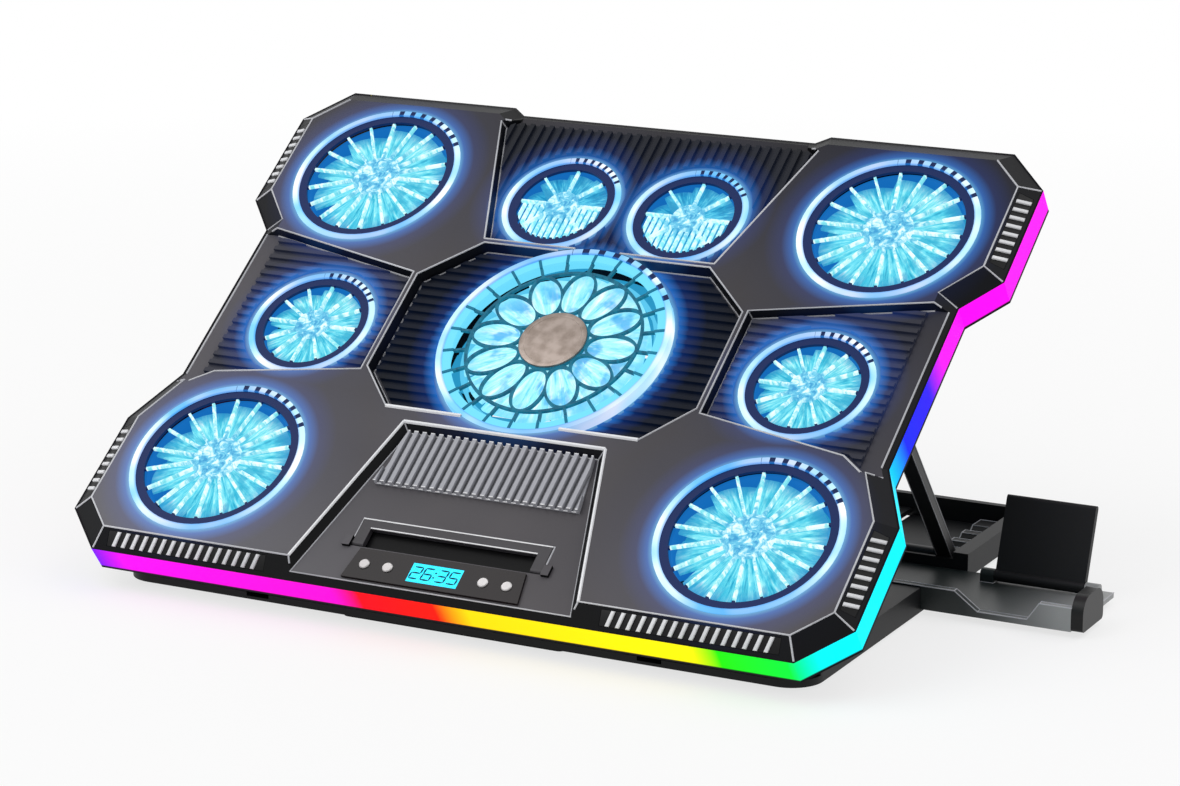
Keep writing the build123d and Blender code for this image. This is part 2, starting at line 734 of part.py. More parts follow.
# ================================================================ control panel, keys and display
board_top = -block_depth
switch_top = board_top + switch_height
key_places = {
    "key_left_outer": -key_x[1],
    "key_left_inner": -key_x[0],
    "key_right_inner": key_x[0],
    "key_right_outer": key_x[1],
}

with BuildPart() as control_panel:
    with BuildSketch(deck(-apron_floor)):
        Polygon(*mirrored([(panel_front_half, -panel_front), (panel_rear_half, -panel_rear)]), align=None)
        with Locations(*[(x, key_y) for x in key_places.values()]):
            Circle(key_r + key_play, mode=Mode.SUBTRACT)
        with Locations((0, display_y)):
            Rectangle(2 * display_half, display_depth, mode=Mode.SUBTRACT)
    extrude(amount=panel_height)
keep(control_panel, "control_panel")

with BuildPart() as display_window:
    with BuildSketch(deck(-apron_floor, 0, display_y)):
        Rectangle(2 * display_half - seat_gap, display_depth - seat_gap)
    extrude(amount=panel_height)
keep(display_window, "display_window")

with BuildPart() as display:
    with BuildSketch(deck(board_top, 0, display_y)):
        Rectangle(2 * display_half, display_depth)
    extrude(amount=block_depth - apron_floor)
keep(display, "display")

with BuildPart() as control_board:
    with BuildSketch(deck(board_top, 0, (display_y - (panel_rear + panel_front) / 2) / 2)):
        Rectangle(2 * board_half, panel_front - panel_rear)
    extrude(amount=-board_height)
    with BuildSketch(deck(board_top)):
        with Locations(*[(x, key_y) for x in key_places.values()]):
            Rectangle(2 * key_r, 2 * key_r)
    extrude(amount=switch_height)
keep(control_board, "control_board")

for name, x in key_places.items():
    with BuildPart() as key:
        with BuildSketch(deck(-apron_floor - axle_play, x, key_y)):
            Circle(key_r)
        extrude(amount=panel_height + key_proud + axle_play)
        chamfer(key.faces().sort_by(Axis(key.part.center(), deck_normal))[-1].edges(), key_chamfer)
        with BuildSketch(deck(-apron_floor - axle_play, x, key_y)):
            Circle(key_collar_r)
        extrude(amount=-key_collar)
        with BuildSketch(deck(switch_top + key_travel + key_stem_gap, x, key_y)):
            Circle(axle_r)
        extrude(amount=-apron_floor - axle_play - switch_top - key_travel - key_stem_gap)
    keep(key, name)

# ================================================================ fans
with BuildPart() as light_rings:
    for kind_name, x, y in fans.values():
        kind = fan_kinds[kind_name]
        with BuildSketch(deck(kind["seat"], x, y)):
            Circle(kind["ring_r"])
            Circle(kind["ring_r"] - ring_width, mode=Mode.SUBTRACT)
        extrude(amount=kind["ring_top"] - kind["seat"])
keep(light_rings, "light_rings")


def make_grille(name, x, y, kind):
    inner = kind["ring_r"] - ring_width - seat_gap
    bars = kind["bars_top"] - grille_bar
    with BuildPart() as grille:
        with BuildSketch(deck(kind["seat"], x, y)):
            Circle(kind["ring_r"] + flange_lap)
            Circle(inner - frame_wall, mode=Mode.SUBTRACT)
        extrude(amount=-flange)
        with BuildSketch(deck(kind["seat"], x, y)):
            Circle(inner)
            Circle(inner - frame_wall, mode=Mode.SUBTRACT)
        extrude(amount=kind["bars_top"] - kind["seat"])
        rim = inner - grille_lip
        with BuildSketch(deck(bars, x, y)):                # lip that carries the bars
            Circle(inner - frame_wall / 2)
            Circle(rim, mode=Mode.SUBTRACT)
        with BuildSketch(deck(bars, x, y)):
            with PolarLocations((rim + kind["hub_r"]) / 2, kind["spokes"]):
                Rectangle(rim - kind["hub_r"] + 2 * spoke_width, spoke_width)
            if kind is fan_kinds["large"]:                 # petals inside a ring of short spokes
                Circle(petal_ring_r + spoke_width / 2)
                Circle(petal_ring_r - spoke_width / 2, mode=Mode.SUBTRACT)
                petal_mid = (petal_ring_r + kind["hub_r"]) / 2
                petal_length = petal_ring_r - kind["hub_r"] + spoke_width
                petal_width = 2 * pi * petal_mid / petals + spoke_width
                with PolarLocations(petal_mid, petals):
                    Ellipse(petal_length / 2, petal_width / 2)
                with PolarLocations(petal_mid, petals):
                    Ellipse(petal_length / 2 - spoke_width, petal_width / 2 - spoke_width, mode=Mode.SUBTRACT)
            if kind is fan_kinds["small"]:                 # a comb of bars over the front half
                comb_rows = int(rim / comb_pitch)
                with Locations((0, -rim / 2)):
                    with GridLocations(comb_pitch, 1, 2 * comb_rows + 1, 1):
                        Rectangle(spoke_width, rim)
            Circle(rim + spoke_width / 2, mode=Mode.INTERSECT)
            Circle(kind["hub_r"])
        extrude(amount=grille_bar)
    keep(grille, f"{name}_grille")


def make_rotor(name, x, y, kind):
    middle = (kind["rotor_top"] + kind["rotor_base"]) / 2
    root = kind["hub_r"] - 1.0
    with BuildPart(deck(middle, x, y)) as rotor:
        with PolarLocations((kind["tip_r"] + root) / 2, kind["blades"]):
            Box(
                kind["tip_r"] + 2 - root,
                kind["blade"] * 1.5,
                blade_thickness,
                rotation=(blade_pitch, 0, 0),
            )
        Cylinder(kind["tip_r"], kind["blade"], mode=Mode.INTERSECT)
        Cylinder(kind["hub_r"], kind["blade"])
        with BuildSketch(deck(kind["rotor_base"], x, y)):
            Circle(axle_r + axle_play)
        extrude(amount=kind["blade"] - skin, mode=Mode.SUBTRACT)
    keep(rotor, f"{name}_rotor")


def make_frame(name, x, y, kind):
    with BuildPart() as frame:
        with BuildSketch(deck(kind["stator_base"], x, y)):
            Circle(kind["wall_r"] + frame_wall)
            Circle(kind["wall_r"], mode=Mode.SUBTRACT)
        extrude(amount=kind["seat"] - flange - kind["stator_base"])
        with BuildSketch(deck(kind["stator_base"], x, y)):
            with PolarLocations(kind["wall_r"] / 2, 3, start_angle=90):
                Rectangle(kind["wall_r"] + frame_wall, arm_width)
            Circle(kind["hub_r"] - 1)
        extrude(amount=stator_height)
        with BuildSketch(deck(kind["stator_base"], x, y)):
            Circle(axle_r)
        extrude(amount=kind["rotor_top"] - skin - seat_gap - kind["stator_base"])
    keep(frame, f"{name}_frame")


for name, (kind_name, x, y) in fans.items():
    make_grille(name, x, y, fan_kinds[kind_name])
    make_rotor(name, x, y, fan_kinds[kind_name])
    make_frame(name, x, y, fan_kinds[kind_name])

# ================================================================ strut
pivot = deck_plane.from_local_coords((0, strut_y, strut_z))
lean_sin = (pivot.Z - foot_level) / strut_length
lean_cos = sqrt(1 - lean_sin**2)
foot_place = pivot.Y + strut_length * lean_cos                # where the strut's foot bar stands


def strut_side(x):
    """Side view of the strut: own x runs from the pivot to the foot."""
    return Plane(origin=(x, pivot.Y, pivot.Z), x_dir=(0, lean_cos, -lean_sin), z_dir=(1, 0, 0))


with BuildPart() as strut:
    for side in (-1, 1):
        with BuildSketch(strut_side(side * strut_half)):
            with Locations((strut_length / 2, 0)):
                SlotCenterToCenter(strut_length, leg_thickness)
            Circle(strut_pin_r + hinge_play, mode=Mode.SUBTRACT)
        extrude(amount=leg_width / 2, both=True)
    with BuildSketch(strut_side(0)):
        with Locations((strut_length, 0)):
            Circle(foot_r)
    extrude(amount=strut_half + leg_width / 2, both=True)
keep(strut, "strut")

with BuildPart() as strut_pins:
    for side in (-1, 1):
        with BuildSketch(deck_side(side * strut_half)):
            with Locations((strut_y, strut_z)):
                Circle(strut_pin_r)
        extrude(amount=channel_half + channel_wall, both=True)
keep(strut_pins, "strut_pins")

# ================================================================ base
window_half_base = base_half - rail
well_front = foot_place - foot_play
trough_rear = strut_reach + strut_length + trough_play      # behind the foot bar, with the deck down
base_rear = trough_rear + rear_lip
window_rear = base_rear - rear_bar
tray_front = well_front - tray_wall - tray_play - tray_depth
rest_pivot_y = tray_front + tray_depth - rest_back
ear_x = [side * (hinge_x + way * (knuckle_width / 2 + hinge_side_play + ear_width / 2))
         for side in (-1, 1) for way in (-1, 1)]
slot_front = tray_front - tray_play
slot_rear = tray_front + tray_depth + tray_play
leg_notch = 6.5
leg_notch_floor = 10.5
keeper_lap = 2.0
keeper_height = 1.5
keeper_length = 24.0
hollow_top = base_top - base_skin
ear_back = 8.0


def base_box(x_low, x_high, y_low, y_high, z_low, z_high, mode=Mode.ADD):
    """A box between these planes, added to the part being built or cut from it."""
    with BuildSketch(Plane((0, 0, z_low))) as footprint:
        with Locations(((x_low + x_high) / 2, (y_low + y_high) / 2)):
            Rectangle(x_high - x_low, y_high - y_low)
    extrude(footprint.sketch, amount=z_high - z_low, mode=mode)


with BuildPart() as base_frame:
    with BuildSketch(Plane.XY.offset(foot_height)):
        with Locations((0, (base_rear - base_front) / 2)):
            RectangleRounded(2 * base_half, base_rear + base_front, base_corner)
        with Locations((0, (front_bar + window_rear) / 2)):
            window_length = window_rear - front_bar
            RectangleRounded(2 * window_half_base, window_length, base_corner / 2, mode=Mode.SUBTRACT)
    extrude(amount=base_top - foot_height)
    base_box(-base_half, base_half, -base_front, base_front, front_lip, base_top, Mode.SUBTRACT)
    base_box(shelf_inner, window_half_base, slot_front, slot_rear, foot_height, shelf_top)
    base_box(window_half_base, base_half, slot_front, slot_rear, shelf_top, base_top, Mode.SUBTRACT)
    for side in (-1, 1):
        outer, inner = side * (base_half - well_outer), side * window_half_base
        low, high = min(outer, inner), max(outer, inner)
        base_box(low, high, well_front, trough_rear, well_floor, base_top, Mode.SUBTRACT)
        base_box(low, high, well_front - leg_notch, well_front, leg_notch_floor, base_top, Mode.SUBTRACT)
        hollow_rear = slot_front if side > 0 else well_front - leg_notch
        outer, inner = side * (base_half - base_skin), side * (window_half_base + base_skin)
        low, high = min(outer, inner), max(outer, inner)
        hollow = front_bar + base_skin, hollow_rear - base_skin
        base_box(low, high, *hollow, foot_height, hollow_top, Mode.SUBTRACT)
        low, high = sorted((side * (hinge_x - knuckle_width / 2 - hinge_side_play),
                            side * (hinge_x + knuckle_width / 2 + hinge_side_play)))
        base_box(low, high, -base_front, base_front, 2 * foot_height, front_lip, Mode.SUBTRACT)
    base_box(-window_half_base, window_half_base, trough_rear - trough_length, trough_rear,
             trough_floor, base_top, Mode.SUBTRACT)
    base_box(-window_half_base, window_half_base, window_rear + base_skin, base_rear - base_skin,
             foot_height, trough_floor - base_skin, Mode.SUBTRACT)
    hinge_inner = hinge_x - knuckle_width / 2 - hinge_side_play - ear_width
    base_box(-hinge_inner, hinge_inner, base_front + base_skin, front_bar - base_skin,
             foot_height, hollow_top, Mode.SUBTRACT)
    for x in ear_x:
        with BuildSketch(side_plane(x)) as ear:
            with Locations((0, hinge_height)):
                Circle(knuckle_r)
            Polygon((-knuckle_r, foot_height), (ear_back, foot_height), (ear_back, hinge_height + knuckle_r),
                    (0, hinge_height + knuckle_r), (-knuckle_r, hinge_height), align=None)
            with Locations((0, hinge_height)):
                Circle(hinge_pin_r + hinge_play, mode=Mode.SUBTRACT)
        extrude(amount=ear_width / 2, both=True)
    keeper_low = tray_floor + tray_plate + tray_play
    base_box(window_half_base, window_half_base + keeper_length,
             slot_rear - tray_play - keeper_lap, slot_rear, keeper_low, keeper_low + keeper_height)
keep(base_frame, "base_frame")

with BuildPart() as hinge_pins:
    for side in (-1, 1):
        with BuildSketch(side_plane(side * hinge_x)):
            with Locations((0, hinge_height)):
                Circle(hinge_pin_r)
        extrude(amount=knuckle_width / 2 + hinge_side_play + ear_width, both=True)
keep(hinge_pins, "hinge_pins")

rack_top = foot_level - foot_r - rack_clear
with BuildPart() as strut_racks:
    for side in (-1, 1):
        x = side * (base_half - well_outer - seat_gap - rack_width / 2)
        with BuildSketch(side_plane(x)):
            front, rear = well_front + seat_gap, trough_rear - rack_end
            Polygon((front, well_floor), (rear, well_floor), (rear, rack_top), (front, rack_top), align=None)
            for notch in range(rack_notches):
                y = foot_place + notch * rack_pitch
                Polygon((y - notch_half, rack_top), (y - notch_foot, rack_top - notch_depth),
                        (y + notch_foot, rack_top - notch_depth), (y + notch_half, rack_top),
                        align=None, mode=Mode.SUBTRACT)
        extrude(amount=rack_width / 2, both=True)
keep(strut_racks, "strut_racks")

with BuildPart() as base_feet:
    with BuildSketch(Plane.XY):
        RectangleRounded(front_foot_length, 2 * knuckle_r, knuckle_r - 1)
        for side in (-1, 1):
            with Locations(
                (side * (base_half - rail / 2), (base_front + front_bar) / 2),
                (side * (base_half - rail / 2 - well_outer), window_rear - foot_pad),
            ):
                RectangleRounded(foot_pad_length, foot_pad, foot_pad / 2 - 1)
    extrude(amount=foot_height)
keep(base_feet, "base_feet")

# ================================================================ phone tray
lip_plane = Plane(origin=(0, tray_front, 0), x_dir=(1, 0, 0), z_dir=(0, -1, 0))
ear_low = (rest_left - hinge_side_play - rest_ear, rest_left - hinge_side_play)
ear_high = (rest_right + hinge_side_play, rest_right + hinge_side_play + rest_ear)
with BuildPart() as phone_tray:
    with BuildSketch(Plane.XY.offset(tray_floor)):
        with Locations(((tray_inner + tray_outer) / 2, tray_front + tray_depth / 2)):
            Rectangle(tray_outer - tray_inner, tray_depth)
    extrude(amount=tray_plate)
    with BuildSketch(lip_plane):
        Polygon(
            (tray_inner, tray_floor), (tray_outer, tray_floor), (tray_outer, lip_top), (lip_gap[3], lip_top),
            (lip_gap[2], lip_low), (lip_gap[1], lip_low), (lip_gap[0], lip_top), (lip_start, lip_top),
            (lip_start, lip_low), (tray_inner, lip_low), align=None,
        )
    extrude(amount=-lip_thickness)
    for x_low, x_high in (ear_low, ear_high):
        with BuildSketch(side_plane((x_low + x_high) / 2)):
            with Locations((rest_pivot_y, rest_pivot_z)):
                Circle(rest_knuckle_r)
            with Locations((rest_pivot_y, (tray_floor + rest_pivot_z) / 2)):
                Rectangle(2 * rest_knuckle_r, rest_pivot_z - tray_floor)
            with Locations((rest_pivot_y, rest_pivot_z)):
                Circle(rest_pin_r + hinge_play, mode=Mode.SUBTRACT)
        extrude(amount=(x_high - x_low) / 2, both=True)
keep(phone_tray, "phone_tray")

with BuildPart() as tray_end_cap:
    with BuildSketch(side_plane(tray_outer)) as cheek:
        with Locations((tray_front + cheek_depth / 2, (tray_floor + cheek_top) / 2)):
            Rectangle(cheek_depth, cheek_top - tray_floor)
        fillet(cheek.vertices().group_by(Axis.Y)[-1], cheek_round)
        fillet(cheek.vertices().group_by(Axis.Y)[0], cheek_round / 4)
    extrude(amount=cheek_thickness)
keep(tray_end_cap, "tray_end_cap")

with BuildPart() as rest_pin:
    with BuildSketch(side_plane(ear_low[0])):
        with Locations((rest_pivot_y, rest_pivot_z)):
            Circle(rest_pin_r)
    extrude(amount=ear_high[1] - ear_low[0])
keep(rest_pin, "rest_pin")

rest_dir = (0, cos(radians(rest_lean)), sin(radians(rest_lean)))
with BuildPart() as phone_rest:
    rest_side = Plane(origin=((rest_left + rest_right) / 2, rest_pivot_y, rest_pivot_z), x_dir=rest_dir,
                      z_dir=(1, 0, 0))
    with BuildSketch(rest_side):
        Circle(rest_knuckle_r)
        with Locations((rest_length / 2, 0)):
            SlotCenterToCenter(rest_length - rest_thickness, rest_thickness)
        Circle(rest_pin_r + hinge_play, mode=Mode.SUBTRACT)
    extrude(amount=(rest_right - rest_left) / 2, both=True)
keep(phone_rest, "phone_rest")
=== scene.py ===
import bmesh
import bpy
import json
import math
from mathutils import Matrix, Vector


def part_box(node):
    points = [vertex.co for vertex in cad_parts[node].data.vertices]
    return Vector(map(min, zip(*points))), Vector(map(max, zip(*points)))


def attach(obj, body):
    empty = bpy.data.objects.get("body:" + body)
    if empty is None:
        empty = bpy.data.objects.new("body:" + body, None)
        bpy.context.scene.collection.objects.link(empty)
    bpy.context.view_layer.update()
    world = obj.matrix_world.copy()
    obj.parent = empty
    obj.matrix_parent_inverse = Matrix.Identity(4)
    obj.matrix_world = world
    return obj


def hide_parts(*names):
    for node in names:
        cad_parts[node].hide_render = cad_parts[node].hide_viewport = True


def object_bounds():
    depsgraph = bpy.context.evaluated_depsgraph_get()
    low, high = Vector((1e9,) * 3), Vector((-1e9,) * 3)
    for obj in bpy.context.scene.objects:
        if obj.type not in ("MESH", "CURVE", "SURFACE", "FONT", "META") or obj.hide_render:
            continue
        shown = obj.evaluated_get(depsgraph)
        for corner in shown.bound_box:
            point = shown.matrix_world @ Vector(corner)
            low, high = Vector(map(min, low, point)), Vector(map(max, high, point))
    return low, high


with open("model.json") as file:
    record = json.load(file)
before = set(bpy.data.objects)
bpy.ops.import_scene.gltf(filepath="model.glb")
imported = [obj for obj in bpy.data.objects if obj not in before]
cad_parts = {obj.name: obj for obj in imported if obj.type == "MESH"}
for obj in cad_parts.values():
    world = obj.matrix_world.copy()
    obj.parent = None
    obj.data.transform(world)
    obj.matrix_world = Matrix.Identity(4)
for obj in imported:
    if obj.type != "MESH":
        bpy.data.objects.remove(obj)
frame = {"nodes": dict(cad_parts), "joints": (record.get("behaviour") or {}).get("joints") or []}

cadLow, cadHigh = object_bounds()
nodes = frame["nodes"]
joints = {j["name"]: j for j in frame["joints"]}
bpy.ops.object.select_all(action="DESELECT")
print("frame loaded:", len(nodes), "nodes")

# All lengths are in metres.
# The deck is tilted: its own frame has its origin on the large fan's axis, at the pods' top face
spin = joints["centre_fan_spin"]
deckUp = Vector(spin["axis"]).normalized()
deckAcross = Vector((1, 0, 0))
deckBack = deckUp.cross(deckAcross)
deckTilt = math.atan2(deckBack.z, deckBack.y)
deckRim = nodes["top_cover"].data.vertices
deckOrigin = Vector(spin["pos_m"])
deckOrigin += deckUp * (max(v.co.dot(deckUp) for v in deckRim) - deckOrigin.dot(deckUp))
deckMatrix = Matrix.Translation(deckOrigin) @ Matrix.Rotation(deckTilt, 4, "X")


def toDeck(point):
    return deckMatrix.inverted() @ Vector(point)


def deckBox(node):
    corners = [toDeck(v.co) for v in nodes[node].data.vertices]
    return (Vector(map(min, zip(*corners))), Vector(map(max, zip(*corners))))


# Fans: middle in deck coordinates, outer radius of the light ring, which a grille's rim overlaps by a margin
rimMargin = 0.0025
fans = {}
for jointName, joint in joints.items():
    if jointName.endswith("_fan_spin"):
        fanName = jointName.replace("_fan_spin", "")
        middle = toDeck(joint["pos_m"])
        low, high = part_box(fanName + "_grille")
        fans[fanName] = {"x": middle.x, "y": middle.y, "ring": (high.x - low.x) / 2 - rimMargin}
print("fans:", {k: round(v["ring"], 4) for k, v in fans.items()})


def hexColour(text):
    channels = [int(text[i:i + 2], 16) / 255 for i in (1, 3, 5)]
    linear = [c / 12.92 if c <= 0.04045 else ((c + 0.055) / 1.055) ** 2.4 for c in channels]
    return (*linear, 1.0)


def addNode(tree, kind, inputs=None, **settings):
    node = tree.nodes.new("ShaderNode" + kind)
    for key, value in settings.items():
        setattr(node, key, value)
    for socket, value in (inputs or {}).items():
        if isinstance(value, bpy.types.NodeSocket):
            tree.links.new(value, node.inputs[socket])
        else:
            node.inputs[socket].default_value = value
    return node


def newMaterial(name):
    material = bpy.data.materials.new(name)
    material.use_nodes = True
    tree = material.node_tree
    return material, tree, tree.nodes["Principled BSDF"]


def ramp(tree, factor, stops):
    node = addNode(tree, "ValToRGB", {"Fac": factor})
    elements = node.color_ramp.elements
    for index, (place, colour) in enumerate(stops):
        element = elements[index] if index < 2 else elements.new(place)
        element.position = place
        element.color = hexColour(colour)
    return node.outputs["Color"]


def deckCoordinates(tree):
    coordinates = addNode(tree, "TexCoord").outputs["Object"]
    place = addNode(tree, "Mapping", {"Vector": coordinates, "Location": deckOrigin,
                                      "Rotation": (deckTilt, 0, 0)}, vector_type="TEXTURE")
    return place.outputs["Vector"]


# What the lit fans do to a point, in deck coordinates: Glow is 1 at the closest light ring and fades with
# distance, Radius and Depth say where it lies within its own fan, and Local is its place from that fan's axis
fanEdge = 1.03                      # a fan's share of the deck, as a factor of its ring's radius


def makeFanField():
    group = bpy.data.node_groups.new("fanField", "ShaderNodeTree")
    group.interface.new_socket("Point", in_out="INPUT", socket_type="NodeSocketVector")
    group.interface.new_socket("Reach", in_out="INPUT", socket_type="NodeSocketFloat")
    for name, kind in (("Glow", "Float"), ("Radius", "Float"), ("Depth", "Float"), ("Local", "Vector")):
        group.interface.new_socket(name, in_out="OUTPUT", socket_type="NodeSocket" + kind)
    point = group.nodes.new("NodeGroupInput")
    result = group.nodes.new("NodeGroupOutput")
    glow, radius, depth, local = 0.0, 0.0, 0.0, (0.0, 0.0, 0.0)
    for fan in fans.values():
        offset = addNode(group, "VectorMath", {0: point.outputs["Point"], 1: (fan["x"], fan["y"], 0)},
                         operation="SUBTRACT").outputs[0]
        flat = addNode(group, "VectorMath", {0: offset, 1: (1, 1, 0)}, operation="MULTIPLY").outputs[0]
        distance = addNode(group, "VectorMath", {0: flat}, operation="LENGTH").outputs["Value"]
        inside = addNode(group, "Math", {0: distance, 1: fan["ring"] * fanEdge},
                         operation="LESS_THAN").outputs[0]
        outside = addNode(group, "Math", {0: distance, 1: fan["ring"]}, operation="SUBTRACT").outputs[0]
        fade = addNode(group, "MapRange", {"Value": outside, "From Min": 0.0,
                                           "From Max": point.outputs["Reach"],
                                           "To Min": 1.0, "To Max": 0.0}).outputs[0]
        glow = addNode(group, "Math", {0: fade, 1: glow}, operation="MAXIMUM").outputs[0]
        share = addNode(group, "Math", {0: distance, 1: fan["ring"]}, operation="DIVIDE").outputs[0]
        radius = addNode(group, "Math", {0: share, 1: inside, 2: radius},
                         operation="MULTIPLY_ADD").outputs[0]
        inward = addNode(group, "Math", {0: fan["ring"], 1: distance}, operation="SUBTRACT").outputs[0]
        depth = addNode(group, "Math", {0: inward, 1: inside, 2: depth}, operation="MULTIPLY_ADD").outputs[0]
        own = addNode(group, "VectorMath", {0: flat, "Scale": inside}, operation="SCALE").outputs[0]
        local = addNode(group, "VectorMath", {0: own, 1: local}, operation="ADD").outputs[0]
    group.links.new(glow, result.inputs["Glow"])
    group.links.new(radius, result.inputs["Radius"])
    group.links.new(depth, result.inputs["Depth"])
    group.links.new(local, result.inputs["Local"])
    return group


fanField = makeFanField()


# The field in a material, where reach is how far outside a ring its glow goes
def fanNodes(tree, reach=0.02):
    node = addNode(tree, "Group", node_tree=fanField)
    tree.links.new(deckCoordinates(tree), node.inputs["Point"])
    node.inputs["Reach"].default_value = reach
    return {name: node.outputs[name] for name in ("Glow", "Radius", "Depth", "Local")}


# Lit from inside: the surface gives its own colour, and its plastic is dark beneath, so that the room's light
# adds little to it
litBody = {"dark": 0.72, "colour": "#04060a", "specular": 0.15}


def glowWith(tree, shader, colour, strength, roughness, specular=litBody["specular"]):
    body = addNode(tree, "Mix", {"Factor": litBody["dark"], "A": colour, "B": hexColour(litBody["colour"])},
                   data_type="RGBA")
    tree.links.new(body.outputs["Result"], shader.inputs["Base Color"])
    tree.links.new(colour, shader.inputs["Emission Color"])
    shader.inputs["Emission Strength"].default_value = strength
    shader.inputs["Roughness"].default_value = roughness
    shader.inputs["Specular IOR Level"].default_value = specular


# Angle of a point round its own fan's axis, in radians
def angleOf(tree, local):
    parts = addNode(tree, "SeparateXYZ", {0: local})
    return addNode(tree, "Math", {0: parts.outputs["Y"], 1: parts.outputs["X"]},
                   operation="ARCTAN2").outputs[0]


# The grain of a moulding tool. A real one is 0.05 to 0.1 mm across, too fine to show, so the sizes given here
# are about ten times that. Size and depth are in metres
def grain(tree, shader, size, depth):
    coordinates = addNode(tree, "TexCoord").outputs["Object"]
    noise = addNode(tree, "TexNoise", {"Vector": coordinates, "Scale": 1 / size, "Detail": 3.0})
    bump = addNode(tree, "Bump", {"Height": noise.outputs["Fac"], "Strength": 0.6, "Distance": depth})
    tree.links.new(bump.outputs["Normal"], shader.inputs["Normal"])


# Which way a surface faces, in deck coordinates
def deckNormal(tree):
    normal = addNode(tree, "TexCoord").outputs["Normal"]
    turned = addNode(tree, "Mapping", {"Vector": normal, "Rotation": (deckTilt, 0, 0)},
                     vector_type="TEXTURE")
    return addNode(tree, "SeparateXYZ", {0: turned.outputs["Vector"]})


# Light that spills from the rings: bright close by, then a faint blue wash over the plastic
ringSpill = {
    "reach": 0.075,                 # metres outside a ring where the last of it is gone
    "colours": [(0.0, "#000000"), (0.55, "#03060c"), (0.78, "#061024"), (0.90, "#0b2864"), (0.97, "#2674d2"),
                (1.0, "#6cc4ff")],
}


def spill(tree, shader, strength, shade=None):
    glow = fanNodes(tree, ringSpill["reach"])["Glow"]
    colour = ramp(tree, glow, ringSpill["colours"])
    if shade:
        colour = addNode(tree, "Mix", {"Factor": shade, "A": colour, "B": (0, 0, 0, 1)},
                         data_type="RGBA").outputs["Result"]
    tree.links.new(colour, shader.inputs["Emission Color"])
    shader.inputs["Emission Strength"].default_value = strength


# The bottom shell's inner floor is flooded with light by the lamps under each fan, outside its hub
floodedFloor = {"hubShare": 0.2, "facingFrom": 0.3, "facingTo": 0.6, "strength": 0.9}


def flood(tree, shader, colour):
    under = addNode(tree, "Math", {0: fanNodes(tree)["Radius"], 1: floodedFloor["hubShare"]},
                    operation="GREATER_THAN").outputs[0]
    upward = addNode(tree, "MapRange", {"Value": deckNormal(tree).outputs["Z"],
                                        "From Min": floodedFloor["facingFrom"],
                                        "From Max": floodedFloor["facingTo"]}).outputs[0]
    lit = addNode(tree, "Math", {0: under, 1: upward}, operation="MULTIPLY").outputs[0]
    power = addNode(tree, "Math", {0: lit, 1: floodedFloor["strength"]}, operation="MULTIPLY").outputs[0]
    shader.inputs["Emission Color"].default_value = hexColour(colour)
    tree.links.new(power, shader.inputs["Emission Strength"])


# Painted light and shade: the cover is painted paler towards its front left corner, where the light falls,
# and darker towards the rear right. Metres of half the way across plus the way back, and the share of each
# tint at its far end
coverPaintedLight = {"darkFrom": -0.10, "darkTo": 0.2, "darkShare": 0.85, "dark": "#131217",
             "paleFrom": -0.12, "paleTo": -0.24, "paleShare": 0.6, "pale": "#78777b"}
# Its slopes, and the recess under the laptop stop, lie out of the light: upward part of the normal, depth in
# metres, and how much of the rings' light they miss
coverShade = {"slopeFrom": 0.97, "slopeTo": 0.90, "recessFrom": -0.0061, "recessTo": -0.0064, "missed": 0.75}


def paintCoverLightAndShade(tree, colour, slope):
    place = addNode(tree, "SeparateXYZ", {0: deckCoordinates(tree)})
    corner = addNode(tree, "Math", {0: place.outputs["X"], 1: 0.5, 2: place.outputs["Y"]},
                     operation="MULTIPLY_ADD").outputs[0]
    # painted light, paler to the front left, and painted shade, darker to the rear right
    for tint in ("dark", "pale"):
        share = addNode(tree, "MapRange", {"Value": corner, "From Min": coverPaintedLight[tint + "From"],
                                           "From Max": coverPaintedLight[tint + "To"],
                                           "To Max": coverPaintedLight[tint + "Share"]}).outputs[0]
        colour = addNode(tree, "Mix", {"Factor": share, "A": colour, "B": hexColour(coverPaintedLight[tint])},
                         data_type="RGBA").outputs["Result"]
    sloped = addNode(tree, "MapRange", {"Value": deckNormal(tree).outputs["Z"],
                                        "From Min": coverShade["slopeFrom"],
                                        "From Max": coverShade["slopeTo"]}).outputs[0]
    deep = addNode(tree, "MapRange", {"Value": place.outputs["Z"], "From Min": coverShade["recessFrom"],
                                      "From Max": coverShade["recessTo"]}).outputs[0]
    hidden = addNode(tree, "Math", {0: sloped, 1: deep}, operation="MAXIMUM").outputs[0]
    colour = addNode(tree, "Mix", {"Factor": hidden, "A": colour, "B": hexColour(slope)},
                     data_type="RGBA").outputs["Result"]
    shade = addNode(tree, "Math", {0: hidden, 1: coverShade["missed"]}, operation="MULTIPLY").outputs[0]
    return colour, shade


# Moulded ABS with a spark-eroded satin skin: grey-black with a soft broad shine, and very faint clouds, about
# 110 mm across, in its colour and its shine
mouldedSkin = {"grain": 0.0011, "depth": 0.00006, "cloudScale": 9.0, "roughSpread": 0.06, "ior": 1.53}


